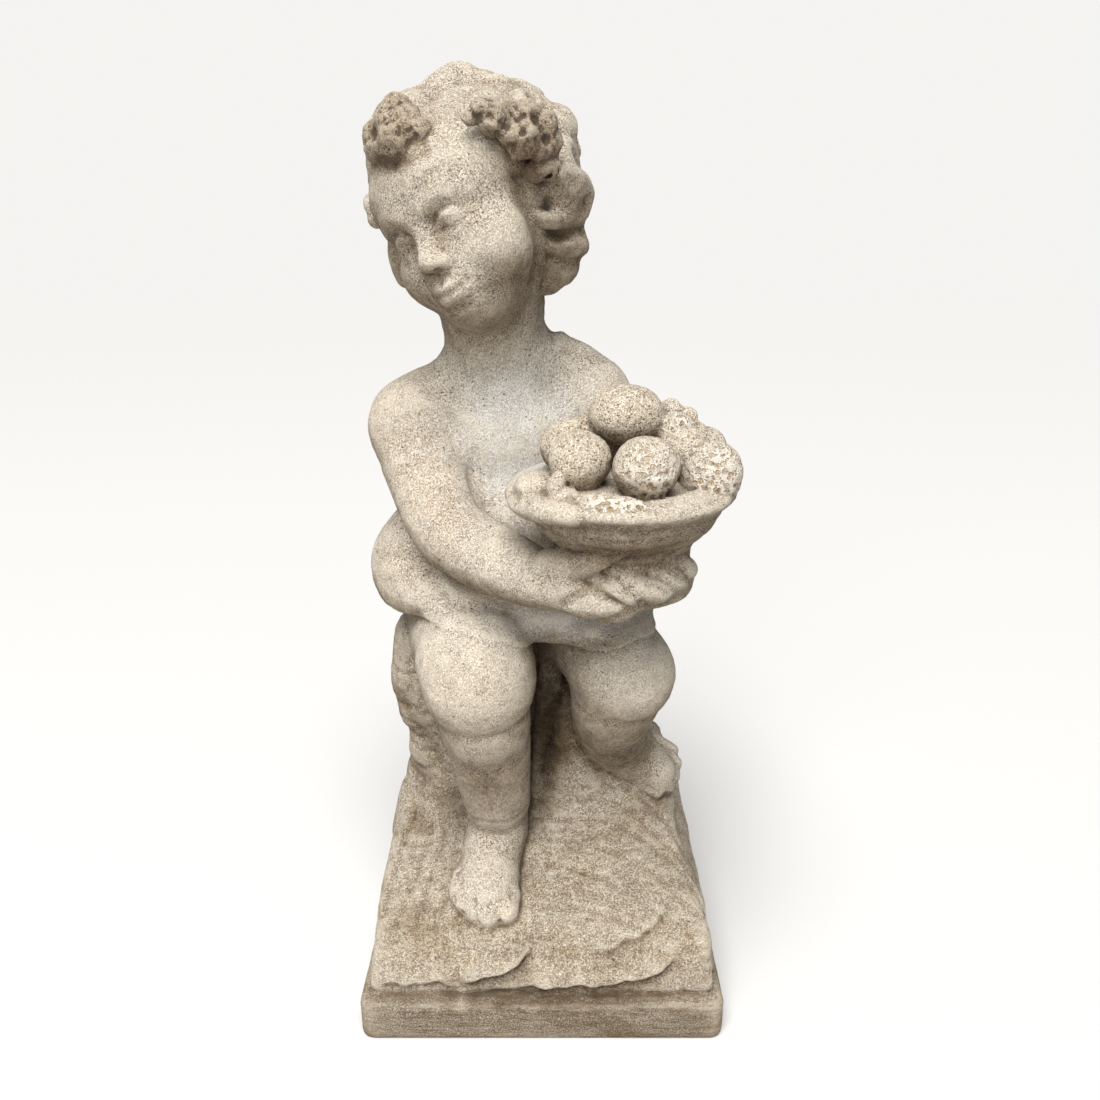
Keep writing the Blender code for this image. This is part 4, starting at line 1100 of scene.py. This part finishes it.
def tint(colour, amount, other, blend="MIX"):
    """Lays one colour over another by an amount, mixed with it or multiplied by it."""
    node = nodes.new("ShaderNodeMix")
    node.data_type = "RGBA"
    node.blend_type = blend
    node.clamp_factor = True
    wires.new(amount, node.inputs["Factor"])
    for socket, value in ((node.inputs[6], colour), (node.inputs[7], other)):
        if isinstance(value, tuple):
            socket.default_value = (*value, 1.0)
        else:
            wires.new(value, socket)
    return node.outputs[2]


def wash(colour, amount, other):
    """A thin darkening layer multiplied over the colour, for the stone's brown tone, for dirt and for
    painted shade, through which the grain of the stone still shows.
    """
    return tint(colour, amount, other, "MULTIPLY")


def worms(scale, width):
    """Short curled channels, like the trails that worn shell leaves in stone: 1 inside, 0 outside."""
    field = noise(scale, 1.0, 0.5)
    return between(work_out("ABSOLUTE", plus(field, -0.5), 0), width, width * 0.35)


GRAIN_STRENGTH = 0.9
GRAIN_DEPTH = 0.0014
LIME = (0.66, 0.575, 0.46)
CREAM_AND_CREST_LIGHT = (0.80, 0.72, 0.59)
BUFF = (0.53, 0.44, 0.325)
WHITE = (0.90, 0.85, 0.76)
PIT = (0.25, 0.19, 0.13)
SAND = (0.52, 0.42, 0.265)
STRAW = (0.80, 0.68, 0.49)
OCHRE = (0.56, 0.35, 0.15)
PALE_AND_LIT = (0.96, 0.94, 0.89)
EARTH_AND_CREVICE_SHADE = (0.30, 0.225, 0.14)
IRON = (0.60, 0.36, 0.15)
CREVICE_SHADE = (0.12, 0.088, 0.06)
GRIME_AND_DEEP_SHADE = (0.085, 0.075, 0.06)
PLINTH_GREY = (0.27, 0.23, 0.17)
# Washes multiplied over the colour: the brown one is the stone's own tone; the others lay painted shade and
# dirt.
DIRT_AND_SHADE_WASH = (0.56, 0.48, 0.38)
BROWN_WASH = (0.64, 0.58, 0.50)
SHADE_AND_GRIME_WASH = (0.52, 0.48, 0.44)
GREY_SHADE_AND_DIRT_WASH = (0.27, 0.26, 0.25)

ground_share, plinth_share, fruit_share = surface("ground"), surface("plinth"), surface("fruit")
eaten, wreath_share, stain_share = surface("eaten"), surface("wreath"), surface("stain")
cavity, hollow, open_sky = surface("cavity"), surface("hollow"), surface("open_sky")
shade_and_grime, washed_and_lit, ledge_shade_and_dirt = surface("shade_and_grime"), surface("washed_and_lit"), surface("ledge")
broad = noise(14, 4)
blotch = noise(55, 4, 0.65)
patches = noise(120, 4, 0.7)
speckle = noise(860, 2, 0.75)
dust = noise(1600, 2, 0.7)
lines = noise(110, 5, 0.75, (0.22, 0.22, 3.0))

sandy = noise(430, 3, 0.8)
colour = tint(LIME, between(broad, 0.38, 0.62, 0.0, 0.7), BUFF)
colour = tint(colour, times(between(blotch, 0.42, 0.66), 0.7), CREAM_AND_CREST_LIGHT)
ground_colour = tint(SAND, between(noise(26, 4, 0.65), 0.50, 0.62, 0.0, 0.7), EARTH_AND_CREVICE_SHADE)
ground_colour = tint(ground_colour, times(between(blotch, 0.47, 0.60), 0.85), EARTH_AND_CREVICE_SHADE)
ground_colour = tint(ground_colour, times(between(patches, 0.47, 0.60), 0.7), STRAW)
ground_colour = tint(ground_colour, times(between(lines, 0.49, 0.40), 0.8), EARTH_AND_CREVICE_SHADE)
ground_colour = tint(ground_colour, times(between(sandy, 0.52, 0.60), 0.7), CREAM_AND_CREST_LIGHT)
ground_colour = tint(ground_colour, times(between(sandy, 0.48, 0.40), 0.8), PIT)
colour = tint(colour, times(ground_share, 0.9), ground_colour)
colour = tint(colour, times(plinth_share, between(blotch, 0.4, 0.6, 0.9, 0.55)), PLINTH_GREY)
colour = tint(colour, times(plinth_share, between(lines, 0.49, 0.38, 0.0, 0.65)), EARTH_AND_CREVICE_SHADE)
colour = tint(colour, times(wreath_share, between(patches, 0.38, 0.6, 0.5, 0.9)), EARTH_AND_CREVICE_SHADE)
colour = tint(colour, times(fruit_share, 0.5), STRAW)
# Painted light: the chest and the cloth below the forearm are painted pale where the head and arm shade
# them.
colour = tint(colour, times(washed_and_lit, 0.9), PALE_AND_LIT)
iron_amount = times(plus(stain_share, 0.05), between(noise(330, 3, 0.7), 0.47, 0.56, 0.0, 0.85))
colour = tint(colour, iron_amount, IRON)
strength = between(washed_and_lit, 0.0, 1.0, 1.0, 0.4)
channels = times(worms(930, 0.055), between(noise(60, 4, 0.7), 0.40, 0.56, 0.35, 1.0))
colour = tint(colour, times(channels, times(strength, 0.85)), PIT)
colour = tint(colour, times(between(speckle, 0.52, 0.59), times(strength, 0.6)), WHITE)
colour = tint(colour, times(between(speckle, 0.48, 0.40), times(strength, 1.0)), PIT)
colour = tint(colour, times(between(dust, 0.53, 0.62), times(strength, 0.40)), WHITE)
colour = tint(colour, times(between(dust, 0.48, 0.38), times(strength, 0.60)), PIT)
dark_specks = times(between(grains(260), 0.20, 0.09), between(noise(90), 0.48, 0.60))
colour = tint(colour, times(dark_specks, 0.95), GRIME_AND_DEEP_SHADE)
bubbles = grains(230)
small_bubbles = grains(430)
holes = work_out("MAXIMUM", between(bubbles, 0.44, 0.34), times(between(small_bubbles, 0.34, 0.24), 0.9))
colour = tint(colour, times(fruit_share, times(between(small_bubbles, 0.36, 0.20), 0.85)), OCHRE)
colour = tint(colour, times(fruit_share, times(between(small_bubbles, 0.24, 0.12), 0.7)), PIT)
colour = tint(colour, times(eaten, 0.9), WHITE)
colour = tint(colour, times(eaten, times(holes, between(patches, 0.35, 0.55, 0.6, 1.0))), OCHRE)
colour = tint(colour, times(eaten, between(bubbles, 0.26, 0.12, 0.0, 0.85)), PIT)
outside_washed_and_lit = between(washed_and_lit, 0.0, 0.6, 1.0, 0.1)
# Painted shade in creases and small hollows, brown and in the deepest nearly black, held back in the paler
# lit patches; crests are painted lighter, as highlight and wear.
colour = tint(colour, times(outside_washed_and_lit, between(cavity, 0.56, 0.95, 0.0, 0.75)), EARTH_AND_CREVICE_SHADE)
colour = tint(colour, times(outside_washed_and_lit, between(cavity, 0.82, 1.0, 0.0, 0.5)), CREVICE_SHADE)
colour = tint(colour, between(cavity, 0.45, 0.15, 0.0, 0.5), CREAM_AND_CREST_LIGHT)
# Painted shade and dirt: darker where forms above hide the sky, in the patches of painted shade and grime,
# and in the band under each ledge; much less in the paler lit patches.
dirt_and_shade = times(between(open_sky, 0.26, 0.03), between(blotch, 0.30, 0.70, 0.75, 1.0))
dirt_and_shade = work_out("MAXIMUM", dirt_and_shade, times(shade_and_grime, between(open_sky, 0.46, 0.26)))
dirt_and_shade = work_out("MAXIMUM", dirt_and_shade, times(ledge_shade_and_dirt, 0.9))
dirt_and_shade = times(dirt_and_shade, between(washed_and_lit, 0.0, 1.0, 1.0, 0.15))
colour = wash(colour, dirt_and_shade, DIRT_AND_SHADE_WASH)
brown = between(noise(34, 5, 0.78, (0.6, 0.6, 1.5)), 0.48, 0.64, 0.0, 0.9)
colour = wash(colour, times(ground_share, brown), BROWN_WASH)
colour = wash(colour, times(wreath_share, 0.35), BROWN_WASH)
# Painted shade, darker still, in those patches where little sky reaches.
colour = wash(colour, times(between(shade_and_grime, 0.7, 1.0), between(open_sky, 0.36, 0.16)), SHADE_AND_GRIME_WASH)
# Painted shade, greyer in blotches, over the same places.
colour = wash(colour, times(dirt_and_shade, between(patches, 0.42, 0.60, 0.3, 0.7)), GREY_SHADE_AND_DIRT_WASH)
# Painted shade in the wreath's pits and hollows.
colour = tint(colour, times(wreath_share, between(cavity, 0.50, 0.70, 0.1, 0.9)), CREVICE_SHADE)
colour = wash(colour, times(plinth_share, between(lines, 0.54, 0.42, 0.45, 1.0)), BROWN_WASH)
# Painted shade in the deep hollows, in blotches, held back in the paler lit patches.
deep_shade = times(between(hollow, 0.82, 1.0), outside_washed_and_lit)
colour = tint(colour, times(deep_shade, between(blotch, 0.3, 0.6, 0.3, 0.7)), GRIME_AND_DEEP_SHADE)
wires.new(colour, shader.inputs["Base Color"])
wires.new(between(speckle, 0.3, 0.7, 0.86, 0.98), shader.inputs["Roughness"])

height = plus(times(speckle, 1.0), times(dust, 0.5))
height = plus(height, times(patches, 0.6))
height = plus(height, times(channels, -0.9))
height = plus(height, times(dark_specks, -1.4))
height = plus(height, times(eaten, times(holes, -2.6)))
height = plus(height, times(fruit_share, times(between(small_bubbles, 0.34, 0.14), -1.4)))
height = plus(height, times(ground_share, plus(times(lines, 1.3), times(sandy, 1.2))))
bump = nodes.new("ShaderNodeBump")
bump.inputs["Strength"].default_value = GRAIN_STRENGTH
bump.inputs["Distance"].default_value = GRAIN_DEPTH
wires.new(height, bump.inputs["Height"])
wires.new(bump.outputs["Normal"], shader.inputs["Normal"])

thinned.materials.clear()
thinned.materials.append(stone)
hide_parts("cherub_statue")
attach(casting, "root")

# Studio
# A plain pale floor and backdrop, a wide soft light from high in front and a weaker one low on the left,
# seen from a little above.
FLOOR_HALF = 6.0
CAMERA_DOWN = 19.3
CAMERA_PLACE = (0.0056, -0.6465, 0.545)
FOCAL_PIXELS = 958
PHOTO_PIXELS = 1100
SENSOR = 36.0
SKY_WAY = (0.10, 0.58, -1.26)
SKY_SPREAD = 40
SKY_STRENGTH = 4.8
AIR_STRENGTH = 0.18
FILL_PLACE = (-0.7, -2.4, 1.3)
FILL_AIM = (0, 0, 0.35)
FILL_WIDTH = 2.0
FILL_POWER = 34

floor_mesh = bpy.data.meshes.new("studio_floor")
corners = [(x * FLOOR_HALF, y * FLOOR_HALF, 0) for x, y in ((-1, -1), (1, -1), (1, 1), (-1, 1))]
floor_mesh.from_pydata(corners, [], [(0, 1, 2, 3)])
floor = bpy.data.objects.new("studio_floor", floor_mesh)
bpy.context.scene.collection.objects.link(floor)
paper = bpy.data.materials.new("pale_paper")
paper.use_nodes = True
paper_shader = paper.node_tree.nodes["Principled BSDF"]
paper_shader.inputs["Base Color"].default_value = (0.60, 0.60, 0.595, 1)
paper_shader.inputs["Roughness"].default_value = 0.9
floor_mesh.materials.append(paper)


def hang(light, spot, way):
    """Puts a light in the studio, pointing its given way."""
    lamp = bpy.data.objects.new(light.name, light)
    lamp.location = spot
    lamp.rotation_euler = Vector(way).to_track_quat("-Z", "Y").to_euler()
    bpy.context.scene.collection.objects.link(lamp)


fill = bpy.data.lights.new("front_fill", "AREA")
fill.shape = "DISK"
fill.size = FILL_WIDTH
fill.energy = FILL_POWER
fill.color = (1.0, 0.99, 0.98)
hang(fill, FILL_PLACE, Vector(FILL_AIM) - Vector(FILL_PLACE))
sky = bpy.data.lights.new("soft_sky", "SUN")
sky.energy = SKY_STRENGTH
sky.angle = math.radians(SKY_SPREAD)
sky.color = (1.0, 0.985, 0.96)
hang(sky, (0, 0, 0), SKY_WAY)

world = bpy.data.worlds.new("studio_air")
world.use_nodes = True
air = world.node_tree.nodes["Background"]
air.inputs["Color"].default_value = (0.93, 0.95, 1.0, 1)
air.inputs["Strength"].default_value = AIR_STRENGTH
backdrop = world.node_tree.nodes.new("ShaderNodeBackground")
backdrop.inputs["Color"].default_value = (0.905, 0.897, 0.88, 1)
seen = world.node_tree.nodes.new("ShaderNodeLightPath")
choice = world.node_tree.nodes.new("ShaderNodeMixShader")
world.node_tree.links.new(seen.outputs["Is Camera Ray"], choice.inputs["Fac"])
world.node_tree.links.new(air.outputs["Background"], choice.inputs[1])
world.node_tree.links.new(backdrop.outputs["Background"], choice.inputs[2])
world.node_tree.links.new(choice.outputs["Shader"], world.node_tree.nodes["World Output"].inputs["Surface"])
bpy.context.scene.world = world
bpy.context.scene.view_settings.view_transform = "Standard"

camera = bpy.data.objects.new("camera", bpy.data.cameras.new("camera"))
camera.location = CAMERA_PLACE
camera.rotation_euler = (math.radians(90 - CAMERA_DOWN), 0, 0)
camera.data.sensor_width = SENSOR
camera.data.lens = FOCAL_PIXELS / PHOTO_PIXELS * SENSOR
camera.data.clip_start = 0.01
bpy.context.scene.collection.objects.link(camera)
bpy.context.scene.camera = camera
